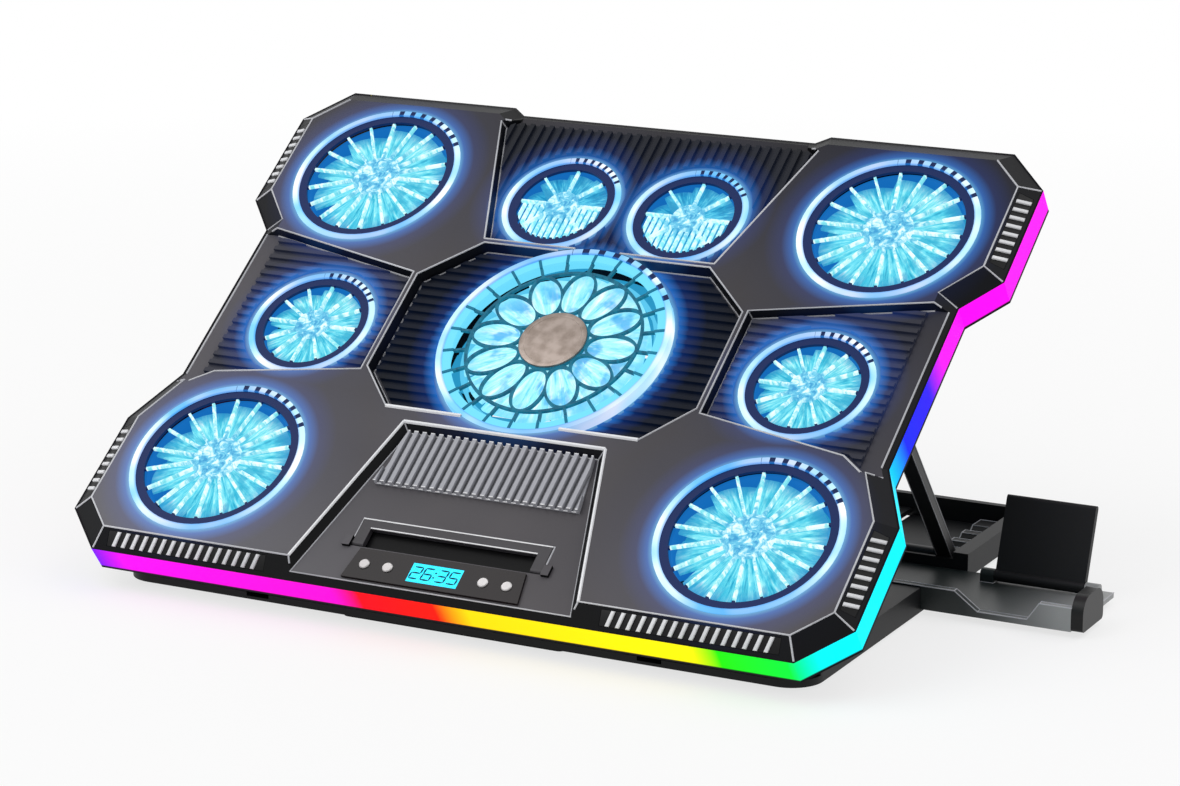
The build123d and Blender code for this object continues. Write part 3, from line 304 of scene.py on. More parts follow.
def mouldedAbs(name, dark, light, roughness=0.42, slope=None, glow=0.0, specular=0.3, flooded=None):
    material, tree, shader = newMaterial(name)
    grain(tree, shader, mouldedSkin["grain"], mouldedSkin["depth"])
    coordinates = addNode(tree, "TexCoord").outputs["Object"]
    cloud = addNode(tree, "TexNoise", {"Vector": coordinates, "Scale": mouldedSkin["cloudScale"],
                                       "Detail": 2.0}).outputs["Fac"]
    colour = ramp(tree, cloud, [(0.3, dark), (0.7, light)])
    shade = None
    if slope:
        colour, shade = paintCoverLightAndShade(tree, colour, slope)
    if glow:
        spill(tree, shader, glow, shade)
    if flooded:
        flood(tree, shader, flooded)
    tree.links.new(colour, shader.inputs["Base Color"])
    rough = addNode(tree, "MapRange", {"Value": cloud, "To Min": roughness - mouldedSkin["roughSpread"],
                                       "To Max": roughness + mouldedSkin["roughSpread"]}).outputs[0]
    tree.links.new(rough, shader.inputs["Roughness"])
    shader.inputs["IOR"].default_value = mouldedSkin["ior"]
    shader.inputs["Specular IOR Level"].default_value = specular
    return material


# Ticks on a ring: how many would go all round, the dark share of each, and the stretch's ends in radians
ringTicks = {"round": 42, "share": 0.42, "from": 0.6, "to": 1.8, "colour": "#061c4a"}
# Lamps sit at two places round each ring, so it is dimmer between them: their number, the turn of the first
# in radians, and where on the wave it dims. Its inner edge is a deeper blue, at these depths in metres from
# its outer edge. Its clouds are some 26 mm across
ringLight = {"lamps": 2.0, "turn": -0.7, "dimFrom": 0.4, "dimTo": -1.0, "dimShare": 0.6, "dim": "#3a8fdc",
             "edgeFrom": 0.0022, "edgeTo": 0.0040, "edge": "#1f86e8", "cloudScale": 38.0}


# Frosted polycarbonate light guide, lit from inside: pale blue-white, faintly clouded, with no sharp shine
def litRing():
    material, tree, shader = newMaterial("frostedPolycarbonateRing")
    field = fanNodes(tree)
    angle = angleOf(tree, field["Local"])
    ticks = addNode(tree, "Math", {0: angle, 1: ringTicks["round"] / (2 * math.pi)},
                    operation="MULTIPLY").outputs[0]
    part = addNode(tree, "Math", {0: ticks}, operation="FRACT").outputs[0]
    bar = addNode(tree, "Math", {0: part, 1: ringTicks["share"]}, operation="LESS_THAN").outputs[0]
    start = addNode(tree, "Math", {0: angle, 1: ringTicks["from"]}, operation="GREATER_THAN").outputs[0]
    end = addNode(tree, "Math", {0: angle, 1: ringTicks["to"]}, operation="LESS_THAN").outputs[0]
    sector = addNode(tree, "Math", {0: start, 1: end}, operation="MULTIPLY").outputs[0]
    mark = addNode(tree, "Math", {0: sector, 1: bar}, operation="MULTIPLY").outputs[0]
    coordinates = addNode(tree, "TexCoord").outputs["Object"]
    cloud = addNode(tree, "TexNoise", {"Vector": coordinates, "Scale": ringLight["cloudScale"],
                                       "Detail": 1.0}).outputs["Fac"]
    colour = ramp(tree, cloud, [(0.32, "#7ccdfa"), (0.5, "#c4ebfc"), (0.68, "#ffffff")])
    phase = addNode(tree, "Math", {0: angle, 1: ringLight["lamps"], 2: ringLight["turn"]},
                    operation="MULTIPLY_ADD").outputs[0]
    wave = addNode(tree, "Math", {0: phase}, operation="COSINE").outputs[0]
    dim = addNode(tree, "MapRange", {"Value": wave, "From Min": ringLight["dimFrom"],
                                     "From Max": ringLight["dimTo"],
                                     "To Max": ringLight["dimShare"]}).outputs[0]
    edge = addNode(tree, "MapRange", {"Value": field["Depth"], "From Min": ringLight["edgeFrom"],
                                      "From Max": ringLight["edgeTo"]}).outputs[0]
    for factor, tint in ((dim, ringLight["dim"]), (mark, ringTicks["colour"]), (edge, ringLight["edge"])):
        colour = addNode(tree, "Mix", {"Factor": factor, "A": colour, "B": hexColour(tint)},
                         data_type="RGBA").outputs["Result"]
    glowWith(tree, shader, colour, 0.95, 0.5)
    return material


stripFrontEdge = toDeck(joints["deck_tilt"]["pos_m"]).y
stripHues = [                       # way along the strip from the middle of the front, in metres
    (-0.300, "#5a16ff"), (-0.190, "#5a14ff"), (-0.170, "#f400ea"), (-0.052, "#ff00d0"), (-0.038, "#ff0018"),
    (0.004, "#ff1400"), (0.022, "#ffd800"), (0.134, "#fff200"), (0.150, "#20e800"), (0.186, "#00ec3c"),
    (0.198, "#00f4ff"), (0.285, "#00e8ff"), (0.312, "#0a20ff"), (0.346, "#2a10ff"), (0.368, "#ff00f0"),
    (0.500, "#ff10e8"),
]
# Black paint on its lower lip, heights in metres over the strip's underside, and on its ledge, by the upward
# part of the normal, and the frosting of the rest
stripLook = {"lipFrom": 0.0021, "lipTo": 0.0013, "ledgeFrom": 0.6, "ledgeTo": 0.8, "paint": "#0b090c",
             "grain": 0.0016, "depth": 0.00004}


# Lit edge strip, the same polycarbonate over a row of coloured lamps: the hue runs round the deck with soft
# changes, as bright from any side
def litStrip():
    material, tree, shader = newMaterial("frostedPolycarbonateStrip")
    parts = addNode(tree, "SeparateXYZ", {0: deckCoordinates(tree)})
    back = addNode(tree, "Math", {0: parts.outputs["Y"], 1: stripFrontEdge}, operation="SUBTRACT").outputs[0]
    along = addNode(tree, "Math", {0: back, 1: 0.0}, operation="MAXIMUM").outputs[0]
    travel = addNode(tree, "Math", {0: parts.outputs["X"], 1: along}, operation="ADD").outputs[0]
    start, end = stripHues[0][0], stripHues[-1][0]
    share = addNode(tree, "MapRange", {"Value": travel, "From Min": start, "From Max": end}).outputs[0]
    stops = [((place - start) / (end - start), colour) for place, colour in stripHues]
    underside = deckBox("light_strip")[0].z
    lip = addNode(tree, "MapRange", {"Value": parts.outputs["Z"],
                                     "From Min": underside + stripLook["lipFrom"],
                                     "From Max": underside + stripLook["lipTo"]}).outputs[0]
    ledge = addNode(tree, "MapRange", {"Value": deckNormal(tree).outputs["Z"],
                                       "From Min": stripLook["ledgeFrom"],
                                       "From Max": stripLook["ledgeTo"]}).outputs[0]
    painted = addNode(tree, "Math", {0: lip, 1: ledge}, operation="MAXIMUM").outputs[0]
    colour = addNode(tree, "Mix", {"Factor": painted, "A": ramp(tree, share, stops),
                                   "B": hexColour(stripLook["paint"])}, data_type="RGBA").outputs["Result"]
    grain(tree, shader, stripLook["grain"], stripLook["depth"])
    glowWith(tree, shader, colour, 1.0, 0.5, specular=0.05)
    return material


# Streaks along a blade: how many go round for each radian, and their scale; patches some 13 mm across between
# them, where the lamps are further off; and the dim end, as shares of the ring's radius
bladeStreaks = {"perRadian": 4.2, "scale": 2.4, "patchScale": 75.0, "patchFrom": 0.5, "patchTo": 0.62,
                "patchShare": 0.8, "edgeFrom": 0.60, "edgeTo": 0.84}


# Translucent polycarbonate fan blades over bright lamps: pale cyan with white streaks that run outwards
def litBlades(name, streakStops, edgeColour, patchColour, strength):
    material, tree, shader = newMaterial(name)
    field = fanNodes(tree)
    angle, radius = angleOf(tree, field["Local"]), field["Radius"]
    turned = addNode(tree, "Math", {0: angle, 1: bladeStreaks["perRadian"]}, operation="MULTIPLY").outputs[0]
    polar = addNode(tree, "CombineXYZ", {"X": turned, "Y": radius}).outputs[0]
    streaks = addNode(tree, "TexNoise", {"Vector": polar, "Scale": bladeStreaks["scale"], "Detail": 4.0,
                                         "Roughness": 0.7}).outputs["Fac"]
    cloud = addNode(tree, "TexNoise", {"Vector": field["Local"], "Scale": bladeStreaks["patchScale"],
                                       "Detail": 3.0}).outputs["Fac"]
    patch = addNode(tree, "MapRange", {"Value": cloud, "From Min": bladeStreaks["patchFrom"],
                                       "From Max": bladeStreaks["patchTo"],
                                       "To Max": bladeStreaks["patchShare"]}).outputs[0]
    edge = addNode(tree, "MapRange", {"Value": radius, "From Min": bladeStreaks["edgeFrom"],
                                      "From Max": bladeStreaks["edgeTo"]}).outputs[0]
    colour = ramp(tree, streaks, streakStops)
    for factor, tint in ((patch, patchColour), (edge, edgeColour)):
        colour = addNode(tree, "Mix", {"Factor": factor, "A": colour, "B": hexColour(tint)},
                         data_type="RGBA").outputs["Result"]
    glowWith(tree, shader, colour, strength, 0.3)
    return material


# A grille's light: least near the hub, between these shares of the ring's radius; flecks of the lamps behind,
# about 4 mm across; and its lip, in metres from the ring's outer edge
grilleLight = {"hubFrom": 0.22, "hubTo": 0.54, "fleckScale": 230.0, "lip": 0.0084}


# Tinted polycarbonate grille over each fan: dark blue lip, and bars that catch the lamps' light from behind
def litGrille(name, deepColour, hubColour, barColours, lipColour, strength):
    material, tree, shader = newMaterial(name)
    field = fanNodes(tree)
    fleck = addNode(tree, "TexNoise", {"Vector": field["Local"], "Scale": grilleLight["fleckScale"],
                                       "Detail": 3.0, "Roughness": 0.65, "Distortion": 0.8}).outputs["Fac"]
    hub = ramp(tree, fleck, [(0.36, deepColour), (0.50, hubColour), (0.64, barColours[1])])
    bar = ramp(tree, fleck, [(0.42, barColours[0]), (0.58, barColours[1])])
    outward = addNode(tree, "MapRange", {"Value": field["Radius"], "From Min": grilleLight["hubFrom"],
                                         "From Max": grilleLight["hubTo"]}).outputs[0]
    bars = addNode(tree, "Mix", {"Factor": outward, "A": hub, "B": bar}, data_type="RGBA").outputs["Result"]
    lip = addNode(tree, "Math", {0: field["Depth"], 1: grilleLight["lip"]}, operation="LESS_THAN").outputs[0]
    colour = addNode(tree, "Mix", {"Factor": lip, "A": bars, "B": hexColour(lipColour)},
                     data_type="RGBA").outputs["Result"]
    glowWith(tree, shader, colour, strength, 0.4)
    return material


# Slatted ABS: pale along the slats' tops as a painted highlight, and black down between them as painted
# shade, as few rays get out from there
def slattedAbs(name, grooves, ridges, reach):
    material, tree, shader = newMaterial(name)
    grain(tree, shader, mouldedSkin["grain"], 0.00004)
    openness = addNode(tree, "AmbientOcclusion", {"Distance": reach}, samples=6,
                       only_local=True).outputs["AO"]
    tree.links.new(ramp(tree, openness, [(0.35, grooves), (0.85, ridges)]), shader.inputs["Base Color"])
    shader.inputs["Roughness"].default_value = 0.42
    shader.inputs["Specular IOR Level"].default_value = 0.25
    return material


# Any other finish: two near colours in clouds, some 70 mm across unless another scale is given, and a grain
def plainFinish(name, colours, roughness, grainSize=None, metallic=0.0, depth=0.00004, cloudScale=14.0,
                ior=1.5, specular=0.5, emission=None):
    material, tree, shader = newMaterial(name)
    coordinates = addNode(tree, "TexCoord").outputs["Object"]
    cloud = addNode(tree, "TexNoise", {"Vector": coordinates, "Scale": cloudScale,
                                       "Detail": 3.0}).outputs["Fac"]
    tree.links.new(ramp(tree, cloud, [(0.35, colours[0]), (0.65, colours[1])]), shader.inputs["Base Color"])
    if grainSize:
        grain(tree, shader, grainSize, depth)
    shader.inputs["Roughness"].default_value = roughness
    shader.inputs["Metallic"].default_value = metallic
    shader.inputs["IOR"].default_value = ior
    shader.inputs["Specular IOR Level"].default_value = specular
    if emission:
        shader.inputs["Emission Color"].default_value = hexColour(emission[0])
        shader.inputs["Emission Strength"].default_value = emission[1]
    return material


# The tray's moulded ABS: near black by the base, and grey on the lip beyond the phone
trayDarkToGrey = [(0.0, "#15191a"), (0.66, "#1f2525"), (0.78, "#5b5e5e"), (0.96, "#969898")]   # shares of its width


def trayAbs():
    material, tree, shader = newMaterial("mouldedAbsTray")
    grain(tree, shader, mouldedSkin["grain"], mouldedSkin["depth"])
    coordinates = addNode(tree, "TexCoord").outputs["Object"]
    across = addNode(tree, "SeparateXYZ", {0: coordinates}).outputs["X"]
    low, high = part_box("phone_tray")
    right = addNode(tree, "MapRange", {"Value": across, "From Min": low.x, "From Max": high.x}).outputs[0]
    tree.links.new(ramp(tree, right, trayDarkToGrey), shader.inputs["Base Color"])
    shader.inputs["Roughness"].default_value = 0.4
    shader.inputs["Specular IOR Level"].default_value = 0.35
    return material


finishes = {
    # moulded ABS skin of the deck's cover: grey-black satin, blue where a ring's light falls on it, with
    # painted light towards its front left, and painted shade on its slopes and towards its rear right
    "coverAbs": mouldedAbs("mouldedAbsCover", "#4f4d51", "#5b585a", slope="#070708", glow=0.6, specular=0.09),
    # the same ABS in the ribs behind and round the large fan: nearly black, as each shades the next
    "ribAbs": mouldedAbs("mouldedAbsRibs", "#131418", "#1c1d22", glow=0.5, specular=0.12),
    "octagonRibAbs": mouldedAbs("mouldedAbsOctagonRibs", "#060709", "#0b0c10", glow=0.8, specular=0.08),
    # its side ribs lie open to the room, so they show a dark grey
    "sideRibAbs": mouldedAbs("mouldedAbsSideRibs", "#27262b", "#333238", glow=0.75, specular=0.16),
    # its slats: pale tops, a painted highlight, and black gaps, a painted shade
    "slatAbs": slattedAbs("mouldedAbsSlats", "#1c1c1e", "#a4a5ac", 0.0020),
    # its bottom shell: dull charcoal outside, and lit cyan inside under the fans
    "shellAbs": mouldedAbs("mouldedAbsShell", "#151517", "#1c1c1f", roughness=0.5, specular=0.22,
                           flooded="#2a9ccc"),
    # its base: blacker still, a broad low shine
    "baseAbs": mouldedAbs("mouldedAbsBase", "#0b0c0e", "#131416", roughness=0.48, specular=0.2),
    # bed between the border's teeth: black, as a painted shade between them
    "bedAbs": plainFinish("mouldedAbsVentBed", ("#050506", "#0a0a0c"), 0.5, 0.0011, specular=0.2),
    # the teeth over it, pale as a painted highlight
    "toothAbs": plainFinish("polishedAbsTeeth", ("#c8c9cd", "#e6e7ea"), 0.35, 0.0008),
    # frosted polycarbonate: an even glow with no sharp shine
    "ring": litRing(),
    "strip": litStrip(),
    # clear blue polycarbonate blades: they glow in streaks, whitest in the large fan
    "blades": litBlades("translucentPolycarbonateBlade",
                        [(0.32, "#2596b8"), (0.45, "#4ac2da"), (0.58, "#8ae2ea"), (0.74, "#effefd")],
                        "#2a84bc", "#2ba4c4", 0.95),
    "bladesSmall": litBlades("translucentPolycarbonateBladeSmall",
                             [(0.32, "#1878a8"), (0.45, "#2a9cc8"), (0.60, "#58c4de"), (0.78, "#b8f0fa")],
                             "#2476b4", "#1c86b4", 0.95),
    "bladesLarge": litBlades("translucentPolycarbonateBladeLarge",
                             [(0.30, "#58cdf0"), (0.5, "#a8f0fb"), (0.72, "#ffffff")],
                             "#7fdcf6", "#3fa4e2", 0.95),
    # tinted polycarbonate grilles: pale bars within a dark blue lip, and the other way round on the large fan
    "grille": litGrille("tintedPolycarbonateGrille", "#3a94c6", "#6bc4e0", ("#7ad6e0", "#e2fbfa"),
                        "#0a2050", 0.95),
    "grilleSmall": litGrille("tintedPolycarbonateGrilleSmall", "#3a94c6", "#6bc4e0", ("#84e0ee", "#d8fafd"),
                             "#0a2050", 0.95),
    "grilleLarge": litGrille("tintedPolycarbonateGrilleLarge", "#0f5a72", "#13667e", ("#0e5670", "#146c86"),
                             "#6fd6f2", 0.9),
    # the large grille's bars go on across its lip, in the same dark tint
    "lipBar": plainFinish("tintedPolycarbonateLipBar", ("#0e5670", "#146c86"), 0.4, specular=0.15,
                          emission=("#0e5670", 0.7)),
    # glass-filled nylon fan frame, flooded with light by the lamps in it
    "fanFrame": plainFinish("glassFilledNylonFrame", ("#06183c", "#0a2450"), 0.6, 0.0012, specular=0.15,
                            emission=("#1470c0", 0.85)),
    "fanFrameLarge": plainFinish("glassFilledNylonFrameLarge", ("#0a2c48", "#0e3858"), 0.6, 0.0012,
                                 specular=0.15, emission=("#5fcdf0", 0.9)),
    # piano-black acrylic strip: deep black, smooth
    "gloss": plainFinish("pianoBlackAcrylic", ("#120b0d", "#180f11"), 0.16, ior=1.49, specular=0.2),
    # keycap metallised in a vacuum: silver-grey, part mirror and part paint
    "key": plainFinish("metallisedKeycap", ("#a19e9e", "#bab7b7"), 0.25, 0.0008, metallic=0.6),
    # liquid-crystal display, lit from behind: an even bright cyan, the digits dark on it
    "window": plainFinish("litLcdFilm", ("#19cfee", "#27dcf6"), 0.2, specular=0.2,
                          emission=("#16c8ea", 0.75)),
    "lcd": plainFinish("litLcdBody", ("#18b6d6", "#1cc2e0"), 0.3, emission=("#12b0d8", 0.6)),
    "liquidCrystal": plainFinish("liquidCrystalStroke", ("#05202e", "#082838"), 0.5, specular=0.1),
    # solder mask on the circuit board: dark green, glossy as lacquer
    "board": plainFinish("solderMaskBoard", ("#0a3a1e", "#0e4726"), 0.35),
    # zinc-plated steel: grey, slightly blue, faintly mottled by the plating
    "steel": plainFinish("zincPlatedSteel", ("#9a9ca0", "#b4b6ba"), 0.32, 0.0006, metallic=1.0),
    # powder-coated steel wire: black with a fine orange peel that breaks up the shine
    "coatedSteel": plainFinish("powderCoatedSteel", ("#101012", "#17171a"), 0.42, 0.0009, depth=0.00008,
                               specular=0.4),
    # moulded nitrile foot: dull black, a little dusty
    "rubber": plainFinish("nitrileRubber", ("#101011", "#191919"), 0.85, 0.0014, depth=0.0001, specular=0.3),
    # the stop's ABS, handled as often as the slats: a paler grey with a closer shine
    "stop": plainFinish("mouldedAbsStop", ("#333135", "#3d3b3f"), 0.38, 0.001, specular=0.3),
    # turned and brushed aluminium: warm grey with a fine mottle, the brushing too fine to show as lines
    "hubMetal": plainFinish("brushedAluminiumCap", ("#85786f", "#a0938b"), 0.36, 0.0009, metallic=0.7,
                            cloudScale=160.0),
    # the same ABS with a painted highlight along a moulded edge: paler and smoother
    "arris": plainFinish("polishedAbsArris", ("#a7a8ae", "#cbccd1"), 0.3, ior=1.53),
    "brightArris": plainFinish("polishedAbsBead", ("#e2e3e7", "#f6f6f8"), 0.25, ior=1.53),
    # a painted highlight along an edge of the powder-coated steel, in a pale metal
    "rubbedSteel": plainFinish("rubbedPowderCoat", ("#8a8b90", "#bcbdc2"), 0.35, metallic=0.5),
    # gold plating on spring bronze: a warm yellow mirror, slightly soft
    "contactGold": plainFinish("goldPlatedContact", ("#c79a3a", "#d9b04e"), 0.25, metallic=1.0),
    # the tray's end cap, a separate moulding: near black, dark plastic deepened as painted shade, and a
    # little glossier than the base
    "endCapAbs": plainFinish("mouldedAbsEndCap", ("#050506", "#0a0a0b"), 0.35, 0.001, specular=0.25),
    "trayAbs": trayAbs(),
}
print("materials made:", len(finishes))

# Which CAD nodes wear which finish
dress = {
    "coverAbs": ["top_cover"],
    "bedAbs": ["bevel_vents"],
    "ribAbs": ["rear_ribs"],
    "octagonRibAbs": ["octagon_ribs"],
    "sideRibAbs": ["side_ribs"],
    "slatAbs": ["vent_plate"],
    "shellAbs": ["bottom_shell"],
    "baseAbs": ["base_frame", "strut_racks", "phone_rest"],
    "endCapAbs": ["tray_end_cap"],
    "trayAbs": ["phone_tray"],
    "ring": ["light_rings"],
    "strip": ["light_strip"],
    "gloss": ["control_panel"],
    "key": ["key_left_outer", "key_left_inner", "key_right_inner", "key_right_outer"],
    "window": ["display_window"],
    "lcd": ["display"],
    "board": ["control_board"],
    "steel": ["hinge_pins", "strut_pins", "rest_pin", "case_screws", "usb_ports"],
    "coatedSteel": ["strut"],
    "rubber": ["base_feet"],
    "stop": ["laptop_stop"],
    "blades": [name + "_rotor" for name in fans],
    "fanFrame": [name + "_frame" for name in fans if name != "centre"],
    "fanFrameLarge": ["centre_frame"],
    "grille": [name + "_grille" for name in fans if name.startswith(("rear", "front", "side"))],
    "grilleSmall": ["small_left_grille", "small_right_grille"],
    "grilleLarge": ["centre_grille"],
}
for finish, members in dress.items():
    for node in members:
        nodes[node].data.materials.clear()
        nodes[node].data.materials.append(finishes[finish])
print("CAD nodes dressed:", sum(len(members) for members in dress.values()))


def only(*chosen):
    bpy.ops.object.select_all(action="DESELECT")
    for piece in chosen:
        piece.select_set(True)
    bpy.context.view_layer.objects.active = chosen[0]


# In edit mode afterwards, with just those faces, edges or vertices selected for which wanted() holds
def choose(piece, kind, wanted):
    if piece.mode != "EDIT":
        only(piece)
        bpy.ops.object.mode_set(mode="EDIT")
    bpy.ops.mesh.select_mode(type=kind)
    bpy.ops.mesh.select_all(action="DESELECT")
    shape = bmesh.from_edit_mesh(piece.data)
    for part in {"FACE": shape.faces, "EDGE": shape.edges, "VERT": shape.verts}[kind]:
        part.select_set(wanted(part))
    bmesh.update_edit_mesh(piece.data)


# A round piece's upper end, also after its rim has been bevelled
def isUpperEnd(face):
    return face.normal.z > 0.99 and len(face.verts) > 20


def applyModifier(piece, kind, **settings):
    only(piece)
    modifier = piece.modifiers.new(kind.lower(), kind)
    for key, value in settings.items():
        setattr(modifier, key, value)
    bpy.ops.object.modifier_apply(modifier=modifier.name)


mergeWithin = 0.000005              # metres between vertices that count as one
smoothBelow = math.radians(35)      # faces that meet at less than this shade as one surface


# A piece is made as if the deck lay flat, with its origin at the deck's; this puts it in its place
def settle(piece, name, finish, body, onDeck=True):
    only(piece)
    bpy.ops.object.transform_apply(location=True, rotation=True, scale=True)
    if onDeck:
        piece.matrix_world = deckMatrix
        bpy.ops.object.transform_apply(location=True, rotation=True, scale=True)
    bpy.ops.object.mode_set(mode="EDIT")
    bpy.ops.mesh.select_all(action="SELECT")
    bpy.ops.mesh.remove_doubles(threshold=mergeWithin)
    bpy.ops.mesh.normals_make_consistent(inside=False)
    bpy.ops.object.mode_set(mode="OBJECT")
    bpy.ops.object.shade_smooth_by_angle(angle=smoothBelow)
    piece.name = piece.data.name = name
    piece.data.materials.clear()
    piece.data.materials.append(finishes[finish])
    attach(piece, body)


# Fan rotors: a rounded hub cup and cambered, twisted blades that overlap as seen from above
rotor = {
    "blades": 9, "largeBlades": 13, "wall": 0.0011, "tipGap": 0.0004,
    "pitch": 19.0, "twist": -7.0, "sweep": 9.0,                     # degrees
    "camber": 0.0011, "camberBand": 0.1, "camberReach": 0.5,        # height, and shares of the chord
    "fill": 0.96,                                                   # of the rotor's height
    "spare": 0.004, "spareShift": 0.0005, "rootSink": 0.001,        # length to trim at the tip's circle
    "hubShare": 0.37, "hubRound": 0.0012, "dishShare": 0.14, "dishEdge": 0.0003, "dishDepth": 0.0004,
}


def modelBlade(root, tip, base, top):
    height, middle = top - base, (base + top) / 2
    pitch = math.radians(rotor["pitch"])
    chord = rotor["fill"] * height / math.sin(pitch)
    bpy.ops.mesh.primitive_grid_add(x_subdivisions=9, y_subdivisions=7, size=1, location=(0, 0, 0))
    blade = bpy.context.object
    blade.scale = (tip - root + rotor["spare"], chord, 1)
    bpy.ops.object.transform_apply(scale=True)
    choose(blade, "VERT", lambda v: abs(v.co.y) < chord * rotor["camberBand"])
    bpy.ops.transform.translate(value=(0, 0, rotor["camber"]), use_proportional_edit=True,
                                proportional_edit_falloff="SMOOTH",
                                proportional_size=chord * rotor["camberReach"])
    bpy.ops.object.mode_set(mode="OBJECT")
    applyModifier(blade, "SIMPLE_DEFORM", deform_method="TWIST", deform_axis="X",
                  angle=math.radians(rotor["twist"]))
    applyModifier(blade, "SOLIDIFY", thickness=rotor["wall"], offset=0)
    blade.rotation_euler = (pitch, 0, math.radians(rotor["sweep"]))
    blade.location = ((root + tip) / 2 + rotor["spareShift"], 0, middle)
    bpy.ops.object.transform_apply(location=True, rotation=True)
    bpy.ops.mesh.primitive_cylinder_add(vertices=96, radius=tip, depth=height, location=(0, 0, middle))
    reach = bpy.context.object
    applyModifier(blade, "BOOLEAN", operation="INTERSECT", object=reach, solver="EXACT")
    bpy.data.objects.remove(reach)
    return blade


def modelRotor(name, fan):
    low, high = deckBox(name + "_rotor")
    middle = Vector((fan["x"], fan["y"], 0))
    reach = max((toDeck(v.co) - middle).xy.length for v in nodes[name + "_rotor"].data.vertices)
    tip = reach - rotor["tipGap"]
    hub = rotor["hubShare"] * tip
    blades = rotor["largeBlades"] if name == "centre" else rotor["blades"]
    first = modelBlade(hub - rotor["rootSink"], tip, low.z, high.z)
    ring = [first]
    for number in range(1, blades):
        only(first)
        bpy.ops.object.duplicate(linked=False)
        copy = bpy.context.object
        copy.rotation_euler = (0, 0, 2 * math.pi * number / blades)
        bpy.ops.object.transform_apply(rotation=True)
        ring.append(copy)
    bpy.ops.mesh.primitive_cylinder_add(vertices=64, radius=hub, depth=high.z - low.z,
                                        location=(0, 0, (low.z + high.z) / 2))
    cup = bpy.context.object
    bpy.ops.object.transform_apply(location=True)
    choose(cup, "FACE", isUpperEnd)
    bpy.ops.mesh.bevel(offset=rotor["hubRound"], segments=3, affect="EDGES")
    choose(cup, "FACE", isUpperEnd)
    bpy.ops.mesh.inset(thickness=hub * rotor["dishShare"])
    bpy.ops.mesh.inset(thickness=rotor["dishEdge"], depth=-rotor["dishDepth"])
    bpy.ops.object.mode_set(mode="OBJECT")
    only(cup, *ring)
    bpy.ops.object.join()
    piece = bpy.context.object
    piece.location = middle
    finish = {"centre": "bladesLarge", "small": "bladesSmall"}.get(name.split("_")[0], "blades")
    settle(piece, name + "_fan_blades", finish, name + "_rotor")
    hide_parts(name + "_rotor")


for name, fan in fans.items():
    modelRotor(name, fan)
print("rotors modelled:", len(fans))

# Large fan's hub cap: a turned disc of brushed aluminium, a little crowned, bare
hubCap = {"radius": 0.01746, "height": 0.0012, "crown": 0.0004, "crownShare": 0.55, "rim": 0.0022,
          "groove": 0.0002, "round": 0.0004}
grilleTop = deckBox("centre_grille")[1].z
bpy.ops.mesh.primitive_cylinder_add(vertices=96, radius=hubCap["radius"], depth=hubCap["height"],
                                    location=(0, 0, grilleTop + hubCap["height"] / 2))
cap = bpy.context.object
bpy.ops.object.transform_apply(location=True)
choose(cap, "FACE", isUpperEnd)
bpy.ops.mesh.bevel(offset=hubCap["round"], segments=2, affect="EDGES")
choose(cap, "FACE", isUpperEnd)
bpy.ops.mesh.inset(thickness=hubCap["rim"])
bpy.ops.mesh.inset(thickness=hubCap["groove"], depth=-hubCap["groove"])
bpy.ops.mesh.inset(thickness=hubCap["radius"] * hubCap["crownShare"], depth=hubCap["crown"])
bpy.ops.object.mode_set(mode="OBJECT")
settle(cap, "centre_hub_cap", "hubMetal", "deck")
print("hub cap modelled")

# Bars that go on from the large grille's spokes over its lip, as far as the light ring
lipBar = {"count": 24, "width": 0.0015, "height": 0.0006, "sink": 0.0002, "round": 0.0002, "inner": 0.0515,
          "ringWidth": 0.0031}


def modelLipBars():
    outer = fans["centre"]["ring"] - lipBar["ringWidth"]
    middle = grilleTop + (lipBar["height"] - lipBar["sink"]) / 2
    bpy.ops.mesh.primitive_cube_add(size=1, location=((lipBar["inner"] + outer) / 2, 0, middle))
    first = bpy.context.object
    first.scale = (outer - lipBar["inner"], lipBar["width"], lipBar["height"] + lipBar["sink"])
    bpy.ops.object.transform_apply(location=True, scale=True)
    applyModifier(first, "BEVEL", width=lipBar["round"], segments=2)
    bars = [first]
    for number in range(1, lipBar["count"]):
        bar = first.copy()
        bar.data = first.data.copy()
        bpy.context.scene.collection.objects.link(bar)
        bar.rotation_euler.z = 2 * math.pi * number / lipBar["count"]
        bars.append(bar)
    only(*bars)
    bpy.ops.object.join()
    settle(first, "centre_lip_bars", "lipBar", "deck")


modelLipBars()
print("lip bars modelled:", lipBar["count"])


# A merged copy of a CAD node's mesh, laid flat in deck coordinates if it is on the deck, to take edges from
def mergedCopy(node, name, onDeck=True):
    piece = bpy.data.objects.new(name, nodes[node].data.copy())
    bpy.context.scene.collection.objects.link(piece)
    if onDeck:
        piece.data.transform(deckMatrix.inverted())
    piece.data.materials.clear()
    only(piece)
    bpy.ops.object.mode_set(mode="EDIT")
    bpy.ops.mesh.select_all(action="SELECT")
    bpy.ops.mesh.remove_doubles(threshold=mergeWithin)
    bpy.ops.object.mode_set(mode="OBJECT")
    return piece


# The loose parts of a CAD node, each as its box and vertices in deck coordinates, and which way it faces
def looseParts(node):
    mergedCopy(node, node + "_parts")
    bpy.ops.object.mode_set(mode="EDIT")
    bpy.ops.mesh.select_all(action="SELECT")
    bpy.ops.mesh.separate(type="LOOSE")
    bpy.ops.object.mode_set(mode="OBJECT")
    found = []
    for part in list(bpy.context.selected_objects):
        points = [v.co.copy() for v in part.data.vertices]
        low, high = Vector(map(min, zip(*points))), Vector(map(max, zip(*points)))
        middle = (low + high) / 2
        upward = [f for f in part.data.polygons
                  if f.normal.z > 0.2 and f.normal.xy.dot(middle.xy) > -0.000001]
        facing = max(upward, key=lambda f: f.area).normal.copy()
        found.append({"low": low, "high": high, "points": points, "facing": facing})
        bpy.data.objects.remove(part)
    return found
